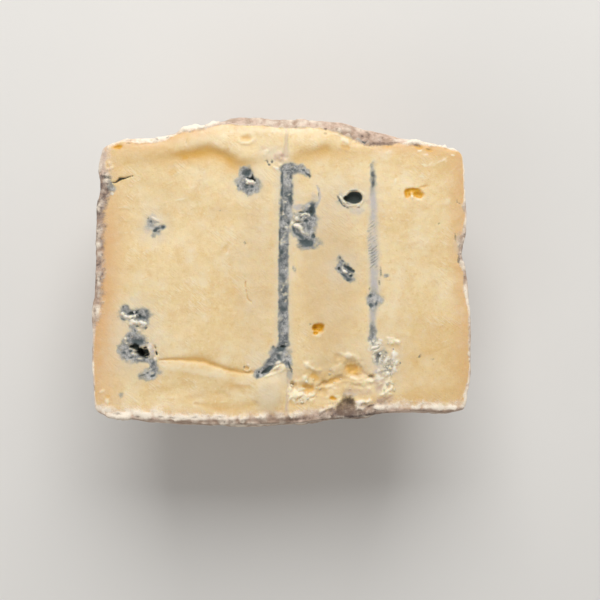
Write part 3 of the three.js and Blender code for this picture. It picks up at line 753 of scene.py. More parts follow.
     (-39.8, -30.2, 0.92, 0.48, 0.6, 0, 30), (-39.3, -31.5, 0.48, 0.77, 0.6, 0, -20)),
    (LILAC, (-40.7, -24.6, 1.3, 2.7, 0.6, 0.8, 18)),
    (PALE, (-40.7, -24.6, 1.5, 2.9, 0.9, 0, 18)),
    (CHALK, (-41.2, -24.2, 0.58, 1.53, 0.6, 0.2, 20), (-40.7, -26.4, 0.75, 0.68, 0.6, 0.1)),
    (DEEP, (-39.5, -23.2, 0.44, 1.36, 0.7, -0.3, 15)),
    # Painted shade: the dark of the open hole stands for the shade of its depth
    (DARK, (-45.5, -23.3, 2, 0.9, 1, -2.6, -15), (-43.1, -24.6, 2.1, 1.4, 1, -3.6, -25),
     (-44.1, -25.1, 1.5, 1, 1, -3.2, -10), (-42.3, -26.1, 1.43, 0.58, 1, -2.2),
     (-46.9, -23, 0.75, 0.55, 1, -1.3), (-42.4, -23.3, 0.75, 0.36, 1, -1.3, 10),
     (-38.9, -25.1, 0.41, 0.89, 1, -1.2, 15), (-39.2, -23.4, 0.29, 1.02, 0.6, -0.6, 15)),
    (CHALK, (-46.1, -25.3, 1.09, 0.68, 0.8, 0.3), (-47.2, -23.7, 0.46, 0.36, 0.6, 0.2),
     (-44.1, -26.7, 1.02, 0.41, 0.6, 0.2), (-39.3, -26.8, 0.51, 0.89, 0.8, 0.3),
     (-40.9, -30.2, 1.06, 0.31, 0.6, 0.1, 25), (-40.2, -31.2, 0.72, 0.41, 0.6, 0.1),
     (-48.6, -20.5, 0.55, 0.48, 0.9, 0.3), (-48.2, -22, 0.44, 0.44, 0.7, 0.2),
     (-46.5, -20.1, 0.75, 0.24, 0.7, 0.1, 30)),
    # Foot of the vein
    (PALE, (-5.5, -28.1, 5.2, 4.4, 0.6)),
    (MOULD, (-1.1, -26.1, 2.7, 2.2, 1, -0.3), (-3.7, -28.5, 3.1, 1.8, 1, -0.2, 32),
     (-6.5, -31.1, 2.5, 1.5, 0.9, -0.2, 15)),
    (MOSS, (-2.4, -23.4, 0.77, 0.59, 0.9, -0.2), (-0.6, -23.2, 0.9, 0.63, 0.7),
     (-2.7, -25.5, 0.5, 1.45, 0.7), (-3.8, -29.7, 2.44, 0.63, 1, -0.4, 28), (-7.4, -32, 0.68, 0.86, 0.8)),
    (DARK, (-2.5, -23, 0.4, 0.4, 0.8, -0.3), (0.4, -23, 0.71, 0.48, 0.9, -0.5),
     (-5, -30.8, 2.14, 0.4, 1, -0.6, 22), (-7, -30.9, 0.52, 0.52, 0.8, -0.3)),
    (CHALK, (-1.5, -24.9, 0.95, 0.6, 0.7, 0.3, -20), (-0.3, -27.8, 1.11, 0.6, 0.9, 0.5, 25)),
    (WHITE, (-1.5, -29.4, 1.9, 0.6, 1, 0.6, 35), (-3.5, -31.7, 2.54, 0.56, 0.8, 0.4, 15)),
    (CHALK, (-5.5, -28.1, 1.6, 0.9, 0.4, 0.1, 32)),
    (WHITE, (0, -30.5, 1.19, 0.63, 0.6, 0.3, 20)),
    (MOSS, (-11.6, -29.4, 0.45, 0.99, 0.7, -0.2)),
    (CHALK, (-10.3, -28.9, 0.63, 0.79, 0.5, 0.2)),
    # Marks lower left
    # Painted shade: brown in the dents along the lower rim
    (BROWN, (-51.5, -43.9, 2.09, 0.48, 0.5, -0.2), (-44.8, -44.8, 1.14, 0.62, 0.6, -0.3),
     (-37.6, -44.9, 1.33, 0.48, 0.6, -0.2), (-33.7, -45.1, 1.9, 0.48, 0.5, -0.2),
     (-26.9, -45, 1.71, 0.52, 0.5, -0.2), (-19, -45, 1.81, 0.48, 0.5, -0.2)),
    (WHITE, (-55.9, -36.9, 1.9, 0.67, 0.6, 0.2, 30), (-54.2, -40, 1, 1.4, 0.7, 0.3, 30)),
    (GOLD, (-54.1, -38.6, 0.76, 0.57, 0.4, -0.1)),
    (MOULD, (-49.9, -38.2, 0.8, 1, 0.5, -0.1)),
    (WHITE, (-26.7, -35.3, 1, 2.1, 0.4, 0.1, 10), (-33.7, -38.8, 2.38, 0.67, 0.5, 0.1),
     (-18.2, -40.1, 2.09, 0.52, 0.4, 0.1, 10), (-11.9, -38.4, 2.4, 0.7, 0.6, 0.1, -15),
     (-35.7, -29.7, 2.9, 1.2, 0.3, 0.1), (-12.3, -34.5, 2.9, 1, 0.4, 0.1)),
    (DEEP, (-14.2, -35.3, 4.8, 1.6, 0.7, -0.1, -10)),
    (GOLD, (-13.4, -35.3, 3.3, 0.9, 0.2, 0, -8)),
    (DEEP, (-27.3, -39, 3.8, 1.1, 0.6, -0.1, 10)),
    (WHITE, (-23.4, -31.3, 10.5, 1.1, 0.4, 0.1, -8)),
    (DEEP, (-36.5, -35.7, 6.2, 1.2, 0.3, 0, 15)),
    (WHITE, (-40.4, -35.7, 3.81, 0.57, 0.3, 0.1, 20)),
    (DEEP, (-19.8, -37.6, 2.86, 0.67, 0.4, -0.1)),
    # Small golden hole, its gold a painted glow of light scattered in the paste
    (GOLD, (11.7, -17.2, 1.8, 1.7, 1, -1.5), (10.3, -17, 0.8, 1.1, 1, -1),
     (10.7, -18.8, 0.9, 0.7, 1, -0.9)),
    (MOSS, (9.1, -16.1, 0.71, 0.28, 0.5, -0.2, 10)),
    (WHITE, (11.7, -19.6, 1.9, 0.52, 0.6, 0.1, 10)),
    # Foot of the vein on the right
    (PALE, (0.8, -29.3, 3.6, 6.3, 0.6)),
    (MOULD, (0, -24.9, 3, 2.6, 1, -0.2), (2, -27.3, 1.4, 2.3, 1, -0.1, 15),
     (2.5, -31.7, 1.1, 2.1, 0.4, 0, 10)),
    (MOSS, (-0.4, -25.3, 2.2, 2, 0.4), (0.4, -23.8, 2, 1, 0.8, -0.3, 8),
     (2.7, -29.3, 0.53, 1.95, 0.9, -0.2, 20), (-0.8, -26.3, 0.62, 1.16, 0.7, -0.2, 15)),
    (DARK, (0.8, -23, 1.11, 0.56, 1, -0.6), (-1.2, -23.4, 0.56, 0.4, 0.8, -0.3),
     (2.2, -28.2, 0.28, 0.95, 0.7, -0.2, 20), (3.3, -30, 0.24, 0.79, 0.7, -0.2, 25)),
    (CHALK, (-0.2, -24.9, 0.79, 0.48, 0.6, 0.2, 20), (1.5, -25.5, 0.56, 0.71, 0.6, 0.2),
     (-1.1, -27.9, 1.11, 0.63, 0.8, 0.4, 20)),
    (WHITE, (0.1, -29.3, 1.3, 1.1, 0.8, 0.4)),
    (CHALK, (0.8, -27.1, 0.63, 0.4, 0.6, 0.2, 30)),
    (MOSS, (0.4, -11.3, 1.3, 0.9, 0.7), (0.6, -6.7, 1.6, 4.9, 0.4)),
    (DARK, (0.5, -6.1, 0.71, 0.56, 0.4, -0.1)),
    (CHALK, (0.2, -3.5, 1, 0.8, 0.5, 0.1), (-0.1, -14.2, 0.8, 1, 0.5, 0.1)),
    (MOSS, (0.4, -1.5, 1.1, 1.8, 0.6)),
    (CHALK, (0.4, -19, 0.87, 0.63, 0.4, 0.1)),
    # Spots of the second vein
    (MOULD, (4.1, 1.2, 0.48, 1.14, 0.5, -0.1, 20), (28.8, -8.7, 2.2, 2.9, 1, -0.2)),
    (MOSS, (27.7, -7.1, 0.9, 0.9, 0.9, -0.2), (29.7, -9.5, 0.8, 1.5, 0.9, -0.2),
     (27.8, -10.2, 0.9, 0.9, 0.9, -0.2)),
    (CHALK, (29, -8.9, 0.6, 0.56, 0.7, 0.1)),
    (MOSS, (30.8, 0, 0.39, 2.31, 0.6), (30.4, -3.1, 0.47, 1.2, 0.6, 0, 10), (27.5, -5.1, 0.64, 0.94, 0.6)),
    (MOULD, (32.6, -0.9, 1, 0.7, 0.6, -0.1), (28.6, -17.8, 1.2, 2.6, 0.6, -0.1),
     (28.4, -21, 1.5, 2.1, 0.8, -0.2)),
    (MOSS, (28.4, -19.8, 0.39, 1.46, 0.5, -0.1)),
    # Crumbs
    (PALE, (31.8, -26.1, 7, 8.7, 0.6)),
    (LILAC, (29.8, -23, 2.6, 2.6, 0.4), (33.3, -29.3, 3.5, 3.9, 0.4)),
    (MOULD, (30.8, -26.5, 2.6, 3.1, 0.4, -0.2), (33.3, -30.5, 2.2, 2.2, 0.3, -0.1)),
    (MOSS, (30.4, -26.3, 1.3, 2, 0.3, -0.3)),
    (BROWN, (30.3, -26.7, 1.3, 1.9, 0.5, -0.1)),
    (MOSS, (28.3, -21, 0.52, 1.75, 0.4), (33, -29.3, 1.48, 0.52, 0.5, -0.1, 10),
     (33.9, -32.5, 0.79, 0.52, 0.4), (32.6, -24.9, 1.05, 0.44, 0.4, -0.1, -20)),
    (DEEP, (34.7, -23.2, 2.4, 1, 0.9, -0.2)),
    (WHITE, (34.9, -21.1, 2.2, 1.1, 0.9, 0.3, -8), (36.3, -21.8, 1, 0.8, 0.8, 0.3),
     (33.3, -20.4, 0.96, 0.7, 0.7, 0.2)),
    (CHALK, (34.7, -25.3, 1.5, 1, 0.8, 0.3), (35.3, -27.8, 1.2, 1, 0.8, 0.3),
     (35.1, -30.5, 1.1, 1, 0.7, 0.2), (33.5, -26.5, 1, 0.8, 0.7, 0.2), (32.6, -28.1, 1.1, 0.9, 0.6, 0.2),
     (29.4, -23, 1.57, 0.7, 0.6, 0.2, 35), (27.6, -23.6, 1, 1.2, 0.6, 0.2),
     (27.6, -21.8, 0.61, 0.87, 0.5, 0.1, -30), (29.8, -21.6, 1.13, 0.44, 0.6, 0.1, 35),
     (30.6, -28.9, 0.87, 0.61, 0.5, 0.1), (32.6, -31.3, 1.1, 0.8, 0.6, 0.2)),
    (PINK, (29.8, -31.3, 1.3, 2.6, 0.5, 0.1, 10)),
    (LILAC, (30.6, -30.5, 1.6, 1.7, 0.4)),
    (PINK, (31.2, -35.3, 1.6, 2.8, 0.6, 0.1, -10)),
    # Torn hollows: deep, golden and brown tint, painted shade and glow in the hollows
    (DEEP, (22.3, -29.7, 4.2, 3.1, 1, -0.9)),
    (GOLD, (22.3, -30, 3.1, 2.1, 0.6, -0.4)),
    (DEEP, (25.9, -31.3, 2.3, 0.9, 0.8, -0.4, -10), (17.5, -26.4, 1.5, 1.4, 0.7, -0.3),
     (14.1, -34.3, 3.8, 1.2, 1, -0.6, 22), (18, -32.9, 3.5, 1.3, 1, -0.5, 8)),
    (GOLD, (15.5, -33.8, 3.6, 0.8, 0.5, 0, 15)),
    (BROWN, (13.6, -34.3, 2.23, 0.56, 0.4, -0.3, 22)),
    (DEEP, (10.5, -32.5, 3.1, 1.7, 1, -0.5, -20)),
    (GOLD, (10.2, -32.5, 1.9, 1, 0.5, 0, -20)),
    (DEEP, (3.7, -35.2, 1.2, 1.8, 1, -0.7, 30)),
    (BROWN, (3.2, -34.8, 0.9, 1.4, 0.5, -0.4, 20)),
    (DEEP, (8.3, -35.9, 3.1, 1.8, 1, -0.7, -15)),
    (GOLD, (8.3, -35.9, 2.2, 1.2, 0.7, -0.3, -15)),
    (BROWN, (8.5, -35.8, 1.39, 0.45, 0.3, 0, -15)),
    (DEEP, (12.6, -36.9, 1.8, 1.5, 0.9, -0.5), (5.4, -40.6, 3.6, 1, 0.9, -0.3)),
    (GOLD, (16.1, -39, 1.3, 0.8, 1, -0.4)),
    (DEEP, (28.1, -32.2, 1.2, 0.8, 1, -0.6)),
    (BROWN, (28.2, -32.3, 1.2, 0.9, 0.6, -0.5)),
    (DEEP, (16, -28.3, 1.7, 1.1, 0.4)),
    # Torn crests: pale curd, whitened further as painted highlights on the crests
    (WHITE, (20.9, -25.7, 3.5, 1, 0.8, 0.3, -6), (23.8, -26.9, 1.5, 0.9, 0.5, 0.2, -35),
     (17.5, -29.6, 2.9, 1.9, 0.4, 0.4, 20), (8, -28.6, 1.5, 1.2, 0.9, 0.5, -35),
     (9.6, -29.8, 1.6, 0.7, 0.6, 0.4, -35), (11.9, -30.2, 1.3, 1, 0.4, 0.3),
     (7.4, -32.9, 1.2, 1.5, 0.8, 0.4, -20), (5.1, -33.8, 1.5, 1, 0.6, 0.3, 20),
     (2.7, -36.1, 0.8, 1.2, 0.8, 0.4, 10), (2.8, -39, 0.51, 1.63, 0.9, 0.4, -40),
     (4.1, -38.7, 0.51, 1.09, 0.8, 0.3, 40), (5.7, -38.3, 1.94, 0.45, 0.9, 0.4, 32),
     (7.5, -38.3, 0.45, 1.15, 0.7, 0.2, 40), (9.9, -38.2, 0.45, 1.45, 0.8, 0.3, -40),
     (4.9, -36, 0.67, 1.21, 0.5, 0.2, 30), (15.2, -35.3, 2.5, 0.9, 0.6, 0.3, 15),
     (16.5, -36, 1.81, 0.48, 0.5, 0.2, -15), (11.4, -34.8, 1.21, 0.6, 0.4, 0.2, 20),
     (24.4, -34.1, 4.7, 2.2, 0.4, 0.6), (28.1, -33.3, 1.3, 1, 0.9, 0.3, -20),
     (22.3, -32.6, 1.6, 0.8, 0.6, 0.2), (26.2, -36, 2.7, 1.2, 0.3, 0.2)),
    (PINK, (24.7, -37.1, 4.5, 1.1, 0.3), (20.6, -37, 1.6, 1.1, 0.4, -0.1)),
    (WHITE, (17.5, -38.5, 1.21, 0.67, 0.5, 0.2), (14.1, -38.9, 1.51, 0.6, 0.4, 0.2)),
    # Lower edge of the torn part
    (LILAC, (21.3, -37.9, 2.5, 1, 0.5)),
    # The notch: a dent whose brown and dark tint is painted shade of the hollow
    (BROWN, (21.1, -40.6, 2.6, 2.3, 0.8, -1.3), (19.8, -42.7, 3.4, 2.5, 0.8, -0.7)),
    (DARK, (21.1, -40.7, 1.5, 1.5, 0.4, -1)),
    (WHITE, (18.1, -39.9, 0.8, 1.3, 0.5, 0.4, -20)),
    (DARK, (19.2, -43, 1.2, 0.9, 0.3, -0.2)),
    (BROWN, (22.5, -40.4, 0.43, 1.12, 0.7, -0.2), (23.8, -43.3, 2.3, 1.1, 0.6, -0.2)),
    (CHALK, (24.7, -40.2, 2.5, 0.9, 0.8, 0.6)),
    (WHITE, (27.4, -40, 1.8, 0.8, 0.8, 0.4, 10), (23.4, -41.1, 1.12, 0.61, 0.6, 0.2)),
    (BROWN, (27.9, -41.4, 1.42, 0.51, 0.8, -0.3, 20)),
    (PALE, (26.2, -42.8, 1.8, 1.3, 0.6)),
    (BROWN, (24.4, -43.3, 0.61, 1.27, 0.4, -0.2, 10), (28.4, -43, 1.5, 1, 0.5, -0.1)),
    (PINK, (32, -40, 3, 1.5, 0.8, -0.2, 20)),
    (BROWN, (31.7, -40.8, 2.8, 1.3, 0.4, -0.2, 15), (32.7, -39.4, 1.12, 0.46, 0.5, -0.2, 25)),
    (WHITE, (31.2, -38, 1.6, 0.7, 0.8, 0.5, 25), (33.2, -36.8, 1.4, 0.8, 0.8, 0.5, 40),
     (34.2, -35.5, 0.66, 1.12, 0.8, 0.3, -20)),
    (PINK, (30.3, -34.1, 1.4, 2.8, 0.5, 0.1)),
    (LILAC, (29.9, -30.8, 1.1, 1.1, 0.6, 0.1)),
    (CHALK, (30.2, -30.4, 0.66, 0.66, 0.5, 0.2)),
    (MOULD, (30.3, -26.4, 1.6, 2.4, 0.5, -0.2)),
    (MOSS, (30.3, -26.4, 0.9, 1.4, 0.2, -0.2)),
    (BROWN, (30.3, -26.6, 0.9, 1.5, 0.3)),
    (WHITE, (15, -41.9, 2.4, 1.1, 0.8, 0.6, 15), (13.4, -42.7, 2.1, 0.8, 0.8, 0.4, 20),
     (3.2, -44, 2.5, 1, 0.5, 0.2)),
    (LILAC, (7.8, -43.5, 3.56, 0.66, 0.4)),
    (PINK, (7.8, -43.4, 4.3, 0.9, 0.4)),
    # Painted shade: brown along the lower end's strip, which faces away from the lamp
    (BROWN, (6.3, -45.3, 3.8, 0.8, 0.4, 0, 10), (2, -45.7, 3.05, 0.66, 0.4), (-22, -46.1, 10.16, 0.66, 0.5),
     (-7.9, -45.9, 7.6, 0.8, 0.5), (3.4, -45.6, 6.6, 0.9, 0.5), (14.1, -44.4, 4.6, 0.9, 0.4, 0, 8)),
    (WHITE, (16.5, -42.7, 1, 1, 0.5, 0.2)),
    # Dots lower right
    (MOSS, (42.9, -26.1, 0.71, 0.44, 0.8, -0.1, 30), (47, -27, 0.44, 0.36, 0.8, -0.1)),
    (WHITE, (39.7, 0, 2.38, 0.28, 0.5, 0.1, -50)),
    (DEEP, (40.1, -0.7, 1.98, 0.32, 0.6, -0.1, -50)),
    (WHITE, (41.3, -1.5, 1.59, 0.28, 0.5, 0.1, -50), (50.8, -21.4, 1.59, 0.28, 0.5, 0.1, 20)),
    (DEEP, (49.6, -23.8, 4.36, 0.36, 0.5, -0.1, 22)),
    (WHITE, (52.4, -17.4, 1.19, 0.36, 0.4, 0.1)),
    (DEEP, (45.6, -37.6, 10.3, 1.6, 0.6, 0, 8)),
)
SPOTS = tuple(spot for tint, *rows in SPOT_TABLE for spot in daubs(tint, *rows))


class Lining(Enum):
    """What a line of the cut face is filled with."""

    BLUE = "grey-blue mould"
    LILAC = "pale grey mould smeared by the knife"
    FAINT = "pinkish grey stain"
    GASH = "dark gap"
    # A crack's deep and golden tint is painted shade, wider on one side
    CRACK = "golden crack"
    # A fold's deep tint is painted shade
    FOLD = "soft golden fold"


@dataclass(frozen=True)
class Stroke:
    """A line on the cut face, as places and half widths along its way."""

    lining: Lining
    path: tuple[tuple[float, float, float], ...]
    depth: float = 0.4

    def fine_path(self) -> Array:
        """The path on a smooth curve.

        Returns:
            Rows of x, y and half width.
        """
        nodes = np.array(self.path)
        if len(nodes) < 3:
            return nodes
        padded = np.vstack((2 * nodes[0] - nodes[1], nodes, 2 * nodes[-1] - nodes[-2]))
        rows = []
        for before, start, end, after in zip(padded, padded[1:], padded[2:], padded[3:]):
            for t in np.linspace(0.0, 1.0, 5)[:-1]:
                rows.append(0.5 * (2 * start + (end - before) * t
                                   + (2 * before - 5 * start + 4 * end - after) * t**2
                                   + (3 * start - before - 3 * end + after) * t**3))
        rows.append(nodes[-1])
        return np.array(rows)

    def spread(self, x: Array, y: Array) -> tuple[Array, Array]:
        """How far points lie from the line.

        Args:
            x: Place across the cut face.
            y: Place along it.

        Returns:
            The distance in half widths of the line, and in millimetres, plus on the line's left.
        """
        rows = self.fine_path()
        best = np.full_like(x, 1e6)
        side = np.full_like(x, 1e6)
        for (x0, y0, w0), (x1, y1, w1) in zip(rows, rows[1:]):
            run_x, run_y = x1 - x0, y1 - y0
            share = np.clip(((x - x0) * run_x + (y - y0) * run_y) / (run_x**2 + run_y**2), 0.0, 1.0)
            off_x, off_y = x - x0 - share * run_x, y - y0 - share * run_y
            away = np.hypot(off_x, off_y)
            scaled = away / np.maximum(blend(w0, w1, share), 0.02)
            closer = scaled < best
            best = np.where(closer, scaled, best)
            side = np.where(closer, np.sign(run_x * off_y - run_y * off_x) * away, side)
        return best, side

    def lay(self, found: Survey) -> None:
        """Lays the line on a survey.

        Args:
            found: The survey, changed in place.
        """
        xs, ys, widths = zip(*self.path)
        widest = max(widths)
        reach = 3.0 * widest + 1.0
        where = np.flatnonzero((found.x > min(xs) - reach) & (found.x < max(xs) + reach)
                               & (found.y > min(ys) - reach) & (found.y < max(ys) + reach))
        x, y, ragged = found.x[where], found.y[where], found.ragged[where]
        away, side = self.spread(*found.bent(where, 0.22 if self.lining is Lining.BLUE else 0.5))
        patch = Grain.layers(x * 1.2, y * 0.7, 85.0, 3.4)
        if self.lining is Lining.BLUE:
            core = fade(0.5, 1.4, away + 0.22 * ragged)
            flecks = Grain.layers(x, y, 86.0, 1.3, 2)
            found.height[where] -= core * (self.depth + 0.12 * flecks)
            found.paint(PALE, fade(0.8, 2.6, away), where)
            found.paint(MOULD, core, where)
            rim = np.exp(-(((np.abs(side) - 0.8 * widest) / (0.25 * widest)) ** 2)) * core
            rim = rim * np.where(side < 0.0, 1.2, 0.7)
            found.paint(MOSS, np.clip(core * (0.55 * patch + 0.3 * ragged) + 0.6 * rim, 0.0, 0.8), where)
            found.paint(DARK, np.clip(core * (1.3 * patch - 0.8 * flecks - 0.75), 0.0, 0.65), where)
            found.paint(CHALK, core * soft_step(0.1, 0.6, flecks - 0.3 * patch) * 0.8, where)
        elif self.lining is Lining.LILAC:
            core = fade(0.2, 1.6, away + 0.35 * ragged) * np.clip(0.72 + 0.5 * patch, 0.3, 1.0)
            hatched = soft_step(-3.0, 4.0, y) * fade(14.0, 19.0, y)
            hatched = hatched * np.clip(0.8 + 0.7 * patch - 0.2 * side / widest, 0.0, 1.0)
            ticks = np.sin((y - x * 0.7) * 2.0 * math.pi / 1.05 + 3.5 * ragged)
            ticks = ticks * soft_step(-0.5, 0.4, Grain.lumps(x, y, 87.0, 1.5))
            found.height[where] += core * (0.06 * ticks * hatched - self.depth)
            found.paint(PALE, fade(0.8, 1.9, away) * 0.8, where)
            found.paint(LILAC, core * 0.85, where)
            grain = hatched * soft_step(-0.2, 0.8, ticks) + 0.5 * ragged + 0.3 * patch
            found.paint(MOULD, core * np.clip(grain, 0.0, 0.8), where)
        elif self.lining is Lining.FAINT:
            core = fade(0.3, 1.6, away + 0.4 * ragged)
            found.height[where] -= core * self.depth
            found.paint(PALE, fade(0.9, 2.4, away) * 0.6, where)
            found.paint(PINK, core * 0.35, where)
        elif self.lining is Lining.GASH:
            found.height[where] -= fade(0.4, 1.2, away) * self.depth
            found.paint(DEEP, fade(0.6, 3.4, away), where)
            found.paint(MOSS, fade(0.5, 2.0, away + 0.4 * ragged) * 0.5, where)
            found.paint(DARK, fade(0.3, 1.1, away + 0.3 * ragged) * 0.85, where)
        elif self.lining is Lining.CRACK:
            # Painted shade: deep and golden tint along the crack, spread wider on its left side, which on
            # the split is the slope above it
            uneven = np.where(side > 0.0, away * 0.7, away * 1.7)
            found.height[where] -= self.depth * np.exp(-(uneven**2))
            found.paint(DEEP, fade(0.2, 2.8, uneven), where)
            found.paint(GOLD, fade(0.1, 1.5, uneven) * 0.45, where)
            found.paint(MOSS, fade(0.0, 0.8, uneven) * 0.2, where)
        elif self.lining is Lining.FOLD:
            # Painted shade: deep tint along the fold
            found.height[where] -= self.depth * np.exp(-(away**2))
            found.paint(DEEP, fade(0.0, 1.8, away + 0.3 * ragged) * 0.85, where)


# The split at the lower left, below which the face stands a little higher
SPLIT = Stroke(Lining.CRACK, (
    (-38.0, -27.3, 0.2), (-33.3, -27.2, 0.45), (-27.3, -27.5, 0.8), (-23.8, -28.0, 0.85),
    (-19.8, -29.2, 0.65), (-16.2, -30.4, 0.55), (-12.7, -31.0, 0.6), (-9.1, -31.2, 0.5)), 0.35)
# Lines of the cut face, from the needle channels to the finest scratch
VEINS = (
    Stroke(Lining.BLUE, (
        (1.6, 32.2, 1.7), (1.6, 29.0, 1.85), (1.4, 19.0, 1.9), (0.9, 14.0, 1.5), (0.7, 4.0, 1.45),
        (0.6, -8.5, 1.5), (0.7, -19.3, 1.55), (0.6, -22.6, 1.5)), 0.45),
    Stroke(Lining.LILAC, (
        (11.1, 27.2, 0.2), (11.9, 24.8, 0.4), (11.9, 22.8, 0.4), (11.0, 21.0, 0.5), (9.8, 20.0, 0.5)), 0.1),
    Stroke(Lining.LILAC, (
        (28.0, 33.6, 0.4), (28.4, 28.0, 0.8), (28.6, 22.0, 1.2), (28.5, 14.0, 1.45), (28.7, 4.0, 1.5),
        (29.1, -3.0, 1.6), (28.8, -8.5, 1.5), (28.5, -15.0, 1.1), (28.4, -20.5, 1.3)), 0.2),
    Stroke(Lining.FAINT, ((2.3, -31.0, 0.7), (1.9, -37.0, 0.4), (1.6, -44.0, 0.4)), 0.35),
    Stroke(Lining.FAINT, ((1.6, 45.0, 0.4), (1.5, 40.0, 0.5), (1.2, 36.4, 1.0)), 0.3),
    Stroke(Lining.GASH, (
        (-52.7, 28.1, 0.1), (-51.9, 28.0, 0.16), (-50.9, 28.6, 0.28), (-50.1, 29.2, 0.45),
        (-49.0, 29.4, 0.28), (-47.7, 29.8, 0.15), (-46.2, 30.2, 0.06)), 0.9),
    SPLIT,
    Stroke(Lining.FOLD, (
        (-27.0, -40.6, 0.4), (-21.4, -41.7, 1.1), (-16.2, -42.3, 1.4), (-11.5, -41.8, 1.4),
        (-8.3, -40.6, 0.8)), 0.14),
    Stroke(Lining.CRACK, (
        (-11.3, -2.9, 0.12), (-10.9, -6.3, 0.15), (-10.3, -8.3, 0.18), (-9.5, -9.1, 0.24)), 0.35),
)


@dataclass(frozen=True)
class Hill(Patch):
    """A soft rise or dip of the cut face."""

    height: float

    def share(self, x: Array, y: Array) -> Array:
        """1 in the middle, 0 at the rim."""
        return fade(0.35, 1.0, self.away(x, y))


@dataclass(frozen=True)
class Ring(Patch):
    """A little curled ring pressed up by the knife."""

    rise: float

    def lay(self, found: Survey) -> None:
        """Lays the ring on a survey.

        Args:
            found: The survey, changed in place.
        """
        away = self.away(found.x, found.y)
        ring = np.exp(-(((away - 0.85) / 0.24) ** 2))
        lower = soft_step(-0.4, 0.6, (self.y - found.y) / self.ry)
        ring = ring * blend(0.25, 1.0, lower) * (0.75 + 0.5 * found.ragged)
        found.height += self.rise * (ring - 0.7 * fade(0.2, 0.9, away))
        found.paint(WHITE, ring * 0.7)
        # Painted golden shade in the ring's dimple
        found.paint(GOLD, fade(0.2, 0.9, away) * 0.45)


@dataclass(frozen=True)
class Crumble(Patch):
    """A patch where the paste has broken into fine crumbs."""

    pitch: float
    rise: float
    mould: float

    def lay(self, found: Survey) -> None:
        """Lays the crumbs on a survey.

        Args:
            found: The survey, changed in place.
        """
        where = self.around(found, 1.6 * max(self.rx, self.ry))
        x, y = found.bent_x[where], found.bent_y[where]
        share = fade(0.5, 1.25, self.away(x, y) + 0.5 * Grain.layers(x, y, 45.0, 2.6))
        knobs = 1.7 * np.abs(Grain.lumps(x, y, 46.0, self.pitch))
        knobs += 0.9 * np.abs(Grain.lumps(x, y, 47.0, self.pitch / 2))
        valley = fade(0.15, 0.6, knobs + 0.3 * Grain.layers(x, y, 48.0, 3.0))
        found.height[where] += share * self.rise * (knobs - 0.5)
        found.paint(MOULD, share * self.mould * (0.45 + 0.55 * valley), where)
        found.paint(MOSS, share * self.mould * valley * 0.6, where)
        light = CHALK if self.mould > 0.2 else WHITE
        found.paint(light, share * soft_step(0.4, 1.0, knobs) * 0.85, where)


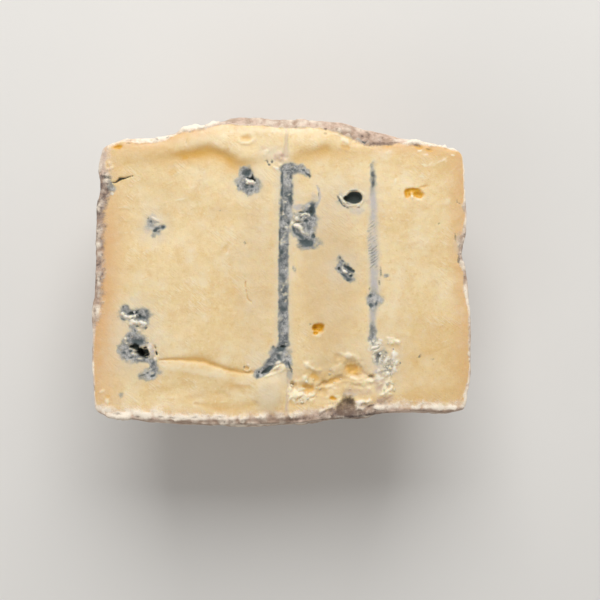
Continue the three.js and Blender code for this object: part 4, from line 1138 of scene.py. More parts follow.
@dataclass(frozen=True)
class CutFace:
    """Relief and stains of the cut face."""

    undulation_height: float = 0.5
    undulation_pitch: float = 20.0
    roll: Stroke = Stroke(Lining.FOLD, (
        (-52.0, 34.0, 0.1), (-46.0, 35.0, 0.25), (-40.0, 35.3, 0.4), (-36.5, 35.6, 0.5), (-32.5, 36.6, 0.7),
        (-28.1, 37.6, 1.1), (-24.5, 38.3, 1.4), (-21.4, 38.3, 1.5), (-17.4, 36.8, 1.4), (-13.4, 34.4, 1.2),
        (-10.0, 33.9, 0.8), (-7.5, 34.6, 0.4), (-3.0, 35.8, 0.1), (2.0, 35.4, 0.3), (6.0, 36.6, 0.7),
        (10.0, 37.6, 0.9), (13.9, 38.8, 0.9), (16.7, 37.2, 0.5), (20.3, 36.8, 0.3), (26.0, 37.4, 0.2)))
    roll_height: float = 0.62
    split_step: float = 0.34
    split_reach: float = 12.5
    swelling: Hill = Hill(-4.0, -37.5, 6.0, 7.0, 0.9)
    lift: Hill = Hill(-29.0, -45.5, 22.0, 10.0, 0.6)
    torn: Hill = Hill(16.5, -34.0, 17.5, 9.5, -0.4)
    veins: tuple[Stroke, ...] = VEINS
    spots: tuple[Daub, ...] = SPOTS
    pits: tuple[Pit, ...] = (
        Pit(2.5, daubs(DARK, (22.7, 23.3, 2.5, 1.95), (20.7, 22.95, 1.4, 0.95, 1.0, 0.0, -20.0))),)
    rings: tuple[Ring, ...] = (Ring(-11.0, 41.8, 2.7, 1.7, 0.6), Ring(-10.7, -29.7, 1.2, 1.1, 0.6))
    deep: tuple[Hill, ...] = (Hill(15.5, -4.0, 13.0, 34.0, 0.85), Hill(46.0, -30.0, 18.0, 22.0, 0.5),
                              Hill(45.0, -39.0, 14.0, 5.0, 0.5), Hill(-10.0, -6.0, 12.0, 30.0, 0.35),
                              Hill(48.0, 36.0, 12.0, 8.0, 0.5))
    dull: tuple[Hill, ...] = (Hill(15.5, 0.0, 13.0, 36.0, 0.4), Hill(-8.0, 2.0, 9.0, 34.0, 0.35))
    crumbles: tuple[Crumble, ...] = (
        Crumble(29.2, -22.6, 2.4, 3.2, 1.1, 0.3, 0.35), Crumble(30.4, -26.5, 1.6, 2.2, 1.2, 0.35, 0.4),
        Crumble(33.9, -28.1, 2.9, 3.8, 1.3, 0.45, 0.35), Crumble(31.8, -32.1, 2.8, 2.6, 1.5, 0.45, 0.22),
        Crumble(35.1, -21.0, 2.2, 1.3, 1.5, 0.4, 0.0), Crumble(32.6, -35.7, 2.8, 2.6, 1.9, 0.5, 0.1),
        Crumble(5.6, -38.0, 4.4, 2.6, 2.0, 0.5, 0.0))

    def survey(self, x: Array, y: Array) -> Survey:
        """Finds the relief and the stains of the cut face.

        Args:
            x: Place across the cut face.
            y: Place along it.

        Returns:
            The survey at those points.
        """
        found = Survey.bare(x, y)
        found.height += self.undulation_height * Grain.lumps(x, y, 3.0, self.undulation_pitch)
        found.height += 0.09 * Grain.layers(x, y, 40.0, 2.4)
        found.height += self.swelling.height * self.swelling.share(x, y)
        found.height += self.lift.height * self.lift.share(x, y)
        found.paint(PALE, self.swelling.share(x, y) * 0.8)
        for ground in self.deep:
            found.paint(DEEP, ground.height * ground.share(x, y))
        for ground in self.dull:
            found.paint(PALE, ground.height * ground.share(x, y))
        self.lay_roll(found)
        self.tear(found)
        for mark in self.veins + self.spots + self.rings + self.crumbles + self.pits:
            mark.lay(found)
        found.height += found.shares[MOULD] * 0.15 * Grain.layers(x, y, 90.0, 0.9, 2)
        return found

    def lay_roll(self, found: Survey) -> None:
        """Lays the roll of paste along the upper edge, with painted shade below its crest, and the step
        under the split, with a painted highlight below it.

        Args:
            found: The survey, changed in place.
        """
        places, _, widths = zip(*self.roll.path)
        share = np.clip(np.interp(found.x, places, widths) / 1.2, 0.0, 1.1)
        side = self.roll.spread(found.x, found.y)[1] + 0.8 * Grain.layers(found.x, found.y, 57.0, 5.0)
        above = soft_step(-1.4, 2.4, side)
        found.height += self.roll_height * share * above * fade(3.5, 10.0, side)
        # Painted shade: deep and golden tint along the dip below the roll's crest, whose lower slope faces
        # away from the lamp
        dip = np.exp(-(((side + 0.3) / np.where(side > -0.3, 1.5, 3.0)) ** 2))
        found.height -= 0.25 * share * dip
        found.paint(DEEP, share * dip)
        found.paint(GOLD, share**1.5 * dip * 0.45)
        side = SPLIT.spread(found.x, found.y)[1]
        ends = soft_step(-40.0, -34.0, found.x) * fade(-9.0, -6.0, found.x)
        below = soft_step(-0.3, 2.0, -side) * fade(2.0, self.split_reach, -side)
        found.height += self.split_step * ends * np.where(np.abs(side) < 50.0, below, 0.0)
        # Painted highlight: a pale band just below the split, where the raised lip faces the lamp
        found.paint(WHITE, 0.3 * ends * np.exp(-(((side + 2.6) / 1.6) ** 2)))

    def tear(self, found: Survey) -> None:
        """Breaks the torn part of the face into curds, with painted shade in the hollows and a painted
        highlight on the crests.

        Args:
            found: The survey, changed in place.
        """
        x, y = found.x, found.y
        torn = self.torn.share(x, y)
        lumps = Grain.layers(x, y, 63.0, 4.2, 2)
        found.height += torn * (self.torn.height + 0.5 * lumps + 0.12 * Grain.lumps(x, y, 64.0, 1.5))
        # Painted shade in the low ground and painted highlight on the high ground of the curds
        found.paint(DEEP, torn * fade(-0.6, 0.2, lumps) * 0.8)
        found.paint(WHITE, torn * soft_step(0.0, 0.8, lumps) * 0.3)


class Wire:
    """A shader value: an expression on it adds Math nodes."""

    def __init__(self, bench: "Bench", socket: bpy.types.NodeSocket) -> None:
        """Keeps a socket and the bench that its nodes are on."""
        self.bench = bench
        self.socket = socket

    def math(self, operation: str, *terms: "Wire | float") -> "Wire":
        """Adds one Math node over the given terms."""
        return self.bench.wire("ShaderNodeMath", {"operation": operation}, dict(enumerate(terms)))

    def __add__(self, other: "Wire | float") -> "Wire":
        """Sum."""
        return self.math("ADD", self, other)

    __radd__ = __add__

    def __sub__(self, other: "Wire | float") -> "Wire":
        """Difference."""
        return self.math("SUBTRACT", self, other)

    def __rsub__(self, other: "Wire | float") -> "Wire":
        """Difference from a number."""
        return self.math("SUBTRACT", other, self)

    def __mul__(self, other: "Wire | float") -> "Wire":
        """Product."""
        return self.math("MULTIPLY", self, other)

    __rmul__ = __mul__

    def top(self, other: "Wire | float") -> "Wire":
        """The larger of two."""
        return self.math("MAXIMUM", self, other)

    def step(self, low: float, high: float) -> "Wire":
        """Soft step from 0 at low to 1 at high."""
        sockets = {"Value": self, "From Min": low, "From Max": high}
        return self.bench.wire("ShaderNodeMapRange", {"interpolation_type": "SMOOTHSTEP"}, sockets)


class Bench:
    """Adds the nodes of one material."""

    def __init__(self, name: str) -> None:
        """Starts an empty material.

        Args:
            name: The material's name.
        """
        self.material = bpy.data.materials.new(name)
        self.material.use_nodes = True
        self.tree = self.material.node_tree
        self.tree.nodes.clear()
        self.place = self.add("ShaderNodeTexCoord", {}, {}).outputs["Object"]

    def add(self, kind: str, settings: dict[str, Any], sockets: dict[Any, Any]) -> bpy.types.Node:
        """Adds one node.

        Args:
            kind: The node's type.
            settings: Its settings, which are set first.
            sockets: Values or links of its input sockets, by name or place.

        Returns:
            The node.
        """
        node = self.tree.nodes.new(kind)
        for name, value in settings.items():
            setattr(node, name, value)
        for key, value in sockets.items():
            socket = node.inputs[key]
            if isinstance(value, Wire):
                value = value.socket
            if isinstance(value, bpy.types.NodeSocket):
                self.tree.links.new(value, socket)
            else:
                socket.default_value = value
        return node

    def wire(self, kind: str, settings: dict[str, Any], sockets: dict[Any, Any],
             output: int | str = 0) -> Wire:
        """Adds one node, and gives one of its outputs as a value."""
        return Wire(self, self.add(kind, settings, sockets).outputs[output])

    def mask(self, name: str) -> Wire:
        """One of the piece's own masks."""
        return self.wire("ShaderNodeAttribute", {"attribute_name": name}, {}, "Fac")

    def noise(self, pitch: float, detail: float = 3.0, rough: float = 0.55, bend: float = 0.0) -> Wire:
        """Cloudy noise from 0 to 1, with clouds of about the given size in millimetres."""
        sockets = {"Vector": self.place, "Scale": 1.0 / (pitch * MM), "Detail": detail, "Roughness": rough,
                   "Distortion": bend}
        return self.wire("ShaderNodeTexNoise", {}, sockets, "Fac")

    def streaks(self, turn: float, length: float, width: float) -> Wire:
        """Drawn-out noise from 0 to 1.

        Args:
            turn: Turn on the cut face, in degrees.
            length: Length of a streak, in millimetres.
            width: Its width.

        Returns:
            The noise.
        """
        sockets = {"Vector": self.place, "Rotation": (0.0, 0.0, math.radians(turn))}
        turned = self.add("ShaderNodeMapping", {}, sockets).outputs[0]
        sizes = (1.0 / (length * MM), 1.0 / (width * MM), 1.0 / (length * MM))
        drawn = self.add("ShaderNodeVectorMath", {"operation": "MULTIPLY"}, {0: turned, 1: sizes})
        sockets = {"Vector": drawn.outputs[0], "Scale": 1.0, "Detail": 3.0, "Roughness": 0.5}
        return self.wire("ShaderNodeTexNoise", {}, sockets, "Fac")

    def coats(self, colour: Any, *layers: tuple[Any, Wire | float]) -> bpy.types.NodeSocket:
        """Lays colours over one another.

        Args:
            colour: What lies below, as a colour or a link.
            layers: Each colour or link above it, and its share.

        Returns:
            The link that carries the outcome.
        """
        settings = {"data_type": "RGBA", "clamp_factor": True}
        for tone, share in layers:
            below, above = (value if isinstance(value, bpy.types.NodeSocket) else (*value, 1.0)
                            for value in (colour, tone))
            colour = self.add("ShaderNodeMix", settings, {0: share, 6: below, 7: above}).outputs[2]
        return colour

    def bump(self, height: Wire, distance: float, strength: float = 1.0) -> bpy.types.NodeSocket:
        """Normal that a height in shares of a distance in millimetres gives."""
        sockets = {"Strength": strength, "Distance": distance * MM, "Height": height}
        return self.add("ShaderNodeBump", {}, sockets).outputs["Normal"]

    def finish(self, shader: bpy.types.Node) -> bpy.types.Material:
        """Ends the material with a shader."""
        self.add("ShaderNodeOutputMaterial", {}, {"Surface": shader.outputs[0]})
        return self.material


@dataclass(frozen=True)
class PasteFinish:
    """Colours of the paste and its mould."""

    cream: Colour = linear(234, 213, 169)
    butter: Colour = linear(226, 200, 150)
    tan: Colour = linear(216, 172, 120)
    # Deeper butter tone of the paste, which also serves as painted shade
    deep: Colour = linear(206, 164, 92)
    # Golden tint of painted glow in holes and of painted shade in hollows, cracks and below the roll
    gold: Colour = linear(214, 156, 4)
    pale: Colour = linear(218, 204, 178)
    lilac: Colour = linear(179, 177, 182)
    curd: Colour = linear(236, 223, 194)
    slate: Colour = linear(81, 88, 94)
    ash: Colour = linear(191, 189, 186)
    chalk: Colour = linear(230, 223, 208)
    haze: Colour = linear(158, 159, 147)
    moss: Colour = linear(62, 76, 78)
    # Colour of the darkest mould, also painted shade inside the open holes
    pitch: Colour = linear(74, 81, 77)
    pink: Colour = linear(200, 172, 154)
    # Brown of rind and mould marks, also painted shade in dents, gaps and the lower strip
    brown: Colour = linear(112, 91, 76)


@dataclass(frozen=True)
class RindFinish:
    """Colours of the natural rind."""

    pink: Colour = linear(209, 184, 166)
    brown: Colour = linear(162, 136, 116)
    # Colour of painted shade between the rind's knobs
    amber: Colour = linear(212, 166, 110)
    grey: Colour = linear(134, 123, 120)
    dark: Colour = linear(90, 74, 68)
    bloom: Colour = linear(243, 231, 212)


@dataclass(frozen=True)
class CheeseFinish:
    """The finish of the whole piece: paste, mould and rind, parted by the piece's masks."""

    paste: PasteFinish = PasteFinish()
    rind: RindFinish = RindFinish()

    def material(self) -> bpy.types.Material:
        """Makes the material.

        Returns:
            The finished material.
        """
        paste = self.paste
        bench = Bench("cheese_paste_and_rind")
        fine, small = bench.noise(0.5, 3.0, 0.6), bench.noise(2.2, 4.0)
        tone, patch = bench.noise(1.2, 4.0, 0.62), bench.noise(3.4, 3.0, 0.5)
        stain, gap, moss = bench.mask("mould"), bench.mask("dark"), bench.mask("moss")
        mould = (stain + (tone - 0.5) * 0.65 + (fine - 0.5) * 0.5).step(0.12, 0.85)
        dark = (gap + (fine - 0.5) * 0.5).step(0.25, 0.95)
        crust = (bench.mask("crust") + (fine - 0.5) * 0.6 + (tone - 0.5) * 0.6).step(0.12, 0.88)
        brown = (bench.mask("brown") + (tone - 0.5) * 0.6 + (fine - 0.5) * 0.5).step(0.1, 0.95)
        green = (moss + gap * 0.5 + (tone - 0.5) * 0.7 + (fine - 0.5) * 0.6).step(0.08, 0.9)
        smear = bench.streaks(38.0, 2.6, 0.35) * bench.noise(9.0, 3.0).step(0.5, 0.62)
        speckle = (patch * 0.4 + tone * 0.4 + fine * 0.3).step(0.43, 0.69)
        grey = bench.coats(paste.slate, (paste.ash, speckle))
        colour = bench.coats(
            self.paste_colour(bench, fine, small, smear), (self.rind_colour(bench, fine), crust),
            (paste.brown, brown * 0.9), (paste.haze, stain.step(0.0, 0.5) * 0.6), (grey, mould * 0.92),
            (paste.moss, green * 0.9), (paste.pitch, dark))
        grain = fine * 0.3 + small * 0.45 + smear * 0.5 + tone * (mould + crust) * 0.8
        sockets = {"Base Color": colour, "Normal": bench.bump(grain, 0.3, 0.7), "Specular IOR Level": 0.45}
        soft = {"Roughness": small * 0.2 + 0.36, "Subsurface Weight": 0.45,
                "Subsurface Radius": (1.0, 0.62, 0.26), "Subsurface Scale": 0.0028}
        moist = bench.add("ShaderNodeBsdfPrincipled", {"subsurface_method": "RANDOM_WALK"}, sockets | soft)
        dry = bench.add("ShaderNodeBsdfPrincipled", {}, sockets | {"Roughness": 0.85})
        cover = crust.top(mould).top(dark).top(brown)
        shaders = {0: cover, 1: moist.outputs[0], 2: dry.outputs[0]}
        return bench.finish(bench.add("ShaderNodeMixShader", {}, shaders))

    def paste_colour(self, bench: Bench, fine: Wire, small: Wire, smear: Wire) -> bpy.types.NodeSocket:
        """Colour of the cut face.

        Args:
            bench: The material's bench.
            fine: Fine noise.
            small: Coarser noise.
            smear: Streaks left by the knife.

        Returns:
            The link that carries the colour.
        """
        paste, mask = self.paste, bench.mask
        broad, mottle = bench.noise(16.0, 4.0), bench.noise(1.5, 4.0, 0.6)
        cloud, shade = bench.noise(6.5, 3.0, 0.5), bench.noise(4.2, 3.0, 0.55) * 0.7 + fine * 0.3
        dots, flecks, rough = bench.noise(1.3, 2.0, 0.5), bench.noise(1.0, 2.0, 0.5), fine - 0.5
        return bench.coats(
            paste.cream,
            (paste.butter, (broad * 0.55 + mottle * 0.45).step(0.38, 0.62)),
            (paste.curd, (cloud * 0.6 + mottle * 0.4).step(0.47, 0.68) * 0.6),
            (paste.deep, shade.step(0.46, 0.68) * 0.3),
            (paste.deep, dots.step(0.6, 0.75) * 0.26),
            # Pale flecks: curd grain, and painted glints of the moist paste
            (paste.curd, flecks.step(0.6, 0.75) * 0.4),
            (paste.curd, smear.step(0.45, 0.7) * 0.6),
            (paste.tan, mask("tan") + (broad - 0.5) * 0.3 * mask("tan")),
            # Deeper tone of the paste, and painted shade in folds, cracks, hollows and below the roll
            (paste.deep, mask("deep") * (0.45 + small * 0.3 + mottle * 0.3) * 0.75),
            (paste.pale, (mask("pale") + (small - 0.5) * 0.3) * 0.8),
            (paste.lilac, (mask("lilac") + rough * 0.3).step(0.0, 1.0) * 0.9),
            # Painted glow and shade: the golden tint of holes, hollows, cracks and the roll's lower slope
            (paste.gold, mask("gold") * 0.97),
            (paste.pink, mask("pink") + rough * 0.4 * mask("pink")),
            (paste.curd, (mask("white") + rough * 0.4).step(0.1, 0.95) * 0.95),
            (paste.chalk, (mask("chalk") + rough * 0.4).step(0.1, 0.9) * 0.95))

    def rind_colour(self, bench: Bench, fine: Wire) -> bpy.types.NodeSocket:
        """Colour of the rind.

        Args:
            bench: The material's bench.
            fine: Fine noise.

        Returns:
            The link that carries the colour.
        """
        rind, mask = self.rind, bench.mask
        soil_and_shade, bloom, crest, groove = mask("soil_and_shade"), mask("bloom"), mask("crest"), mask("groove")
        small, mid = bench.noise(1.5, 4.0, 0.65), bench.noise(7.0, 4.0, 0.6)
        other, speck = bench.noise(2.3, 4.0, 0.65, 0.6), bench.noise(1.4, 3.0, 0.6)
        rough = (fine - 0.5) * 0.5
        # Painted shade: amber in the low ground between the knobs
        valley = bloom * 1.1 - crest * 0.9 + (small - 0.5) * 0.8
        ashen = soil_and_shade * 0.5 + (small - 0.5) * 0.9 + rough
        # The bloom's white, whiter on the knobs' crests: real bloom and a painted highlight
        white = other * 0.5 + fine * 0.5 + (crest - 0.5) * 0.65 + bloom * 0.6 - groove * 0.2
        marks = soil_and_shade * 0.55 + (speck - 0.5) * 1.7 + rough + groove * 0.1
        return bench.coats(
            rind.pink,
            (rind.brown, (mid * 0.5 + other * 0.5 + soil_and_shade * 0.15).step(0.45, 0.64) * 0.9),
            (rind.amber, valley.step(0.15, 0.65) * 0.55),
            (rind.grey, ashen.step(0.3, 0.7) * 0.8),
            (rind.brown, groove * 0.5),
            (rind.bloom, white.step(0.4, 1.08) * 0.97),
            (rind.dark, marks.step(0.36, 0.85) * 0.85))


@dataclass(frozen=True)
class RimSurvey:
    """What the rim and the rind hold at a set of points."""

    rise: Array
    crust: Array
    bloom: Array
    soil_and_shade: Array
    crest: Array
    tan: Array


@dataclass(frozen=True)
class Edge:
    """One edge of the cut face, as rows of place, width of the rind, bloom and dirt."""

    rows: tuple[tuple[float, float, float, float], ...]

    def at(self, place: Array) -> tuple[Array, ...]:
        """Width, bloom and dirt at each place."""
        places, *columns = zip(*self.rows)
        return tuple(np.interp(place, places, column) for column in columns)


@dataclass(frozen=True)
class Rim:
    """Rim of the cut face, where the knife shows the rind's thickness."""

    left: Edge = Edge((
        (-46.0, 0.6, 0.5, 0.2), (-20.0, 0.6, 0.5, 0.2), (-16.5, 1.5, 0.35, 0.4), (-12.0, 2.2, 0.25, 0.6),
        (-7.0, 2.9, 0.18, 0.75), (0.0, 3.0, 0.15, 0.8), (8.0, 2.6, 0.18, 0.8), (14.0, 2.7, 0.15, 0.75),
        (20.0, 3.0, 0.1, 0.9), (26.0, 3.4, 0.1, 0.95), (28.0, 3.5, 0.05, 1.0), (30.0, 3.5, 0.1, 0.95),
        (32.0, 2.9, 0.3, 0.55), (38.0, 2.1, 0.4, 0.3), (42.0, 1.4, 0.6, 0.1)))
    right: Edge = Edge((
        (-46.0, 2.0, 0.7, 0.2), (-40.0, 1.1, 0.6, 0.3), (-30.0, 0.8, 0.5, 0.35), (-16.0, 0.8, 0.5, 0.4),
        (-6.0, 1.1, 0.4, 0.5), (2.0, 1.5, 0.3, 0.7), (10.0, 1.7, 0.3, 0.7), (14.0, 1.0, 0.4, 0.5),
        (18.0, 0.5, 0.5, 0.3), (20.5, 1.4, 0.3, 0.65), (23.0, 0.6, 0.5, 0.3), (25.0, 0.35, 0.6, 0.1),
        (42.0, 0.4, 0.7, 0.0)))
    upper: Edge = Edge((
        (-59.0, 1.2, 0.8, 0.0), (-50.0, 1.1, 0.8, 0.0), (-42.0, 1.0, 0.75, 0.05), (-33.0, 1.1, 0.75, 0.05),
        (-24.0, 1.0, 0.65, 0.1), (-19.0, 0.7, 0.3, 0.4), (-15.0, 0.5, 0.15, 0.25), (0.0, 0.45, 0.12, 0.25),
        (13.0, 0.6, 0.1, 0.3), (20.0, 1.4, 0.08, 0.5), (27.0, 2.0, 0.08, 0.75), (32.0, 1.6, 0.12, 0.5),
        (36.0, 1.1, 0.4, 0.25), (45.0, 0.9, 0.75, 0.05), (59.0, 1.1, 0.8, 0.0)))
    lower: Edge = Edge((
        (-59.0, 2.4, 0.85, 0.0), (-48.0, 3.7, 0.95, 0.05), (-40.0, 3.6, 0.9, 0.1), (-32.0, 3.2, 0.75, 0.2),
        (-22.0, 3.2, 0.6, 0.3), (-14.0, 3.1, 0.6, 0.25), (-6.0, 3.0, 0.6, 0.2), (2.0, 3.4, 0.5, 0.3),
        (12.0, 3.6, 0.5, 0.4), (20.0, 3.4, 0.15, 0.9), (26.0, 3.4, 0.3, 0.7), (31.0, 3.2, 0.3, 0.6),
        (35.0, 3.0, 0.75, 0.2), (44.0, 3.0, 0.8, 0.2), (59.0, 2.8, 0.8, 0.1)))
    left_tan: Profile = Profile((
        (-46.0, 0.4), (-30.0, 0.75), (-12.0, 1.0), (8.0, 1.0), (18.0, 0.7), (28.0, 0.35), (42.0, 0.4)))
    side_knob: float = 0.3
    end_knob: float = 0.55
    scallop: float = 0.7
    knob_pitch: float = 3.0

    def survey(self, x: Array, y: Array, z: Array, side_in: Array, end_in: Array, on_face: Array,
               depth: Array) -> RimSurvey:
        """Finds the relief and the masks of the rim and the rind.

        Args:
            x: Place across.
            y: Place along.
            z: Place up.
            side_in: Distance in from the round side.
            end_in: Distance in from the nearer end.
            on_face: 1 on the cut face, 0 on the rind.
            depth: Depth below the cut.

        Returns:
            The survey at those points.
        """
        side = [np.where(x < 0.0, a, b) for a, b in zip(self.left.at(y), self.right.at(y))]
        end = [np.where(y < 0.0, a, b) for a, b in zip(self.lower.at(x), self.upper.at(x))]
        uneven = 1.0 + 0.4 * Grain.layers(x, y, 12.0, 4.2) + 0.25 * Grain.layers(x, y, 13.0, 1.2)
        inward = np.minimum(side_in / side[0], end_in / end[0]) / np.clip(uneven, 0.4, 1.8)
        at_end = soft_step(-1.5, 1.5, side_in - end_in)
        bloom, dirt = blend(side[1], end[1], at_end), blend(side[2], end[2], at_end)
        crust = blend(1.0, fade(0.2, 1.75, inward), on_face)
        at_rim = blend(fade(0.8, 4.0, depth), fade(0.3, 1.5, inward), on_face)
        knobs = 1.2 * np.abs(Grain.lumps(x, y, z, self.knob_pitch)) + 0.6 * np.abs(Grain.lumps(x, y, z, 1.5))
        knobs = knobs + 0.3 * Grain.lumps(x, y, z, 6.0)
        lower_end, upper_end = at_end * (y < 0.0), at_end * (y > 0.0)
        wide = Grain.layers(x, y, z, 14.0)
        calm = upper_end * fade(18.0, 30.0, np.abs(x - 5.0))
        reach = np.interp(x, (-30.0, -14.0, 14.0, 24.0), (0.5, 1.05, 0.95, 0.5))
        # Painted shade: the lower end's outer strip loses its bloom and gains dirt, as it faces away from
        # the lamp
        outer = lower_end * fade(0.25 * reach, reach, inward) * fade(1.5, 5.0, depth)
        shown = bloom * (1.0 - 0.9 * outer)
        # Painted light and shade: below the cut the upper end keeps more bloom and the lower end less
        below = bloom * (0.5 + 0.5 * upper_end - 0.35 * lower_end)
        bloom = blend(below * fade(1.2 + 2.0 * upper_end, 4.5 + 4.0 * upper_end, depth), shown, on_face)
        bloom = bloom + 0.3 * soft_step(-0.1, 0.5, wide) * soft_step(2.0, 8.0, depth)
        # Dirt of the rind, plus painted shade on the lower end's outer strip
        soil_and_shade = np.maximum(dirt * fade(3.0, 9.0, depth), 0.42 * soft_step(2.0, 8.0, depth)) + 0.3 * outer
        left = x < 0.0
        side_tan = np.where(left, self.left_tan.at(y), 0.6) * fade(0.5, np.where(left, 13.0, 8.0), side_in)
        tan = np.maximum(side_tan, 0.6 * fade(0.5, 6.0, end_in) * (1.0 - 0.9 * calm))
        height = blend(self.side_knob, self.end_knob, at_end) + self.scallop * upper_end
        rise = at_rim * (knobs - 0.45) * height
        crest = 0.5 + (knobs - 0.5) * (0.8 + 0.2 * at_end - 0.55 * calm)
        return RimSurvey(rise, crust, bloom, soil_and_shade, np.clip(crest, 0.0, 1.0), tan)


@dataclass(frozen=True)
class NeedleMouths:
    """Mouths of the needle channels in the two ends, below the cut."""

    pitch: float = 28.4
    first: float = -27.4
    count: int = 3
    below: float = 20.0
    radius: float = 1.5
    depth: float = 4.0
    halo: float = 3.6

    def away(self, x: Array, z: Array, cut: float) -> Array:
        """Distance from the nearest mouth's middle, on an end."""
        places = [self.first + self.pitch * index for index in range(self.count)]
        return np.minimum.reduce([np.hypot(x - place, z - (cut - self.below)) for place in places])

    def near(self, centres: Array, form: DrumForm) -> Array:
        """Which faces of the blank lie at a mouth."""
        at_end = np.abs(centres[:, 1]) > form.end - 1.0
        return at_end & (self.away(centres[:, 0], centres[:, 2], form.cut) < self.halo)

    def drill(self, points: Array, blank: Array, form: DrumForm) -> dict[Tint, Array]:
        """Sinks the mouths into the ends.

        Args:
            points: Points of the drum, changed in place.
            blank: The same points on the blank.
            form: Form of the drum.

        Returns:
            The stains around the mouths.
        """
        x, y, z = blank.T
        ragged = Grain.layers(x, y, z, 1.4)
        away = self.away(x, z, form.cut) + 0.35 * ragged
        at_end = np.abs(y) > form.end - 1.0
        hole = np.where(at_end, fade(0.45 * self.radius, 1.15 * self.radius, away), 0.0)
        points[:, 1] -= np.sign(y) * self.depth * hole
        mould = np.where(at_end, fade(0.9 * self.radius, self.halo, away + 0.8 * ragged), 0.0)
        return {MOULD: mould * 0.8, MOSS: hole, DARK: hole**2}


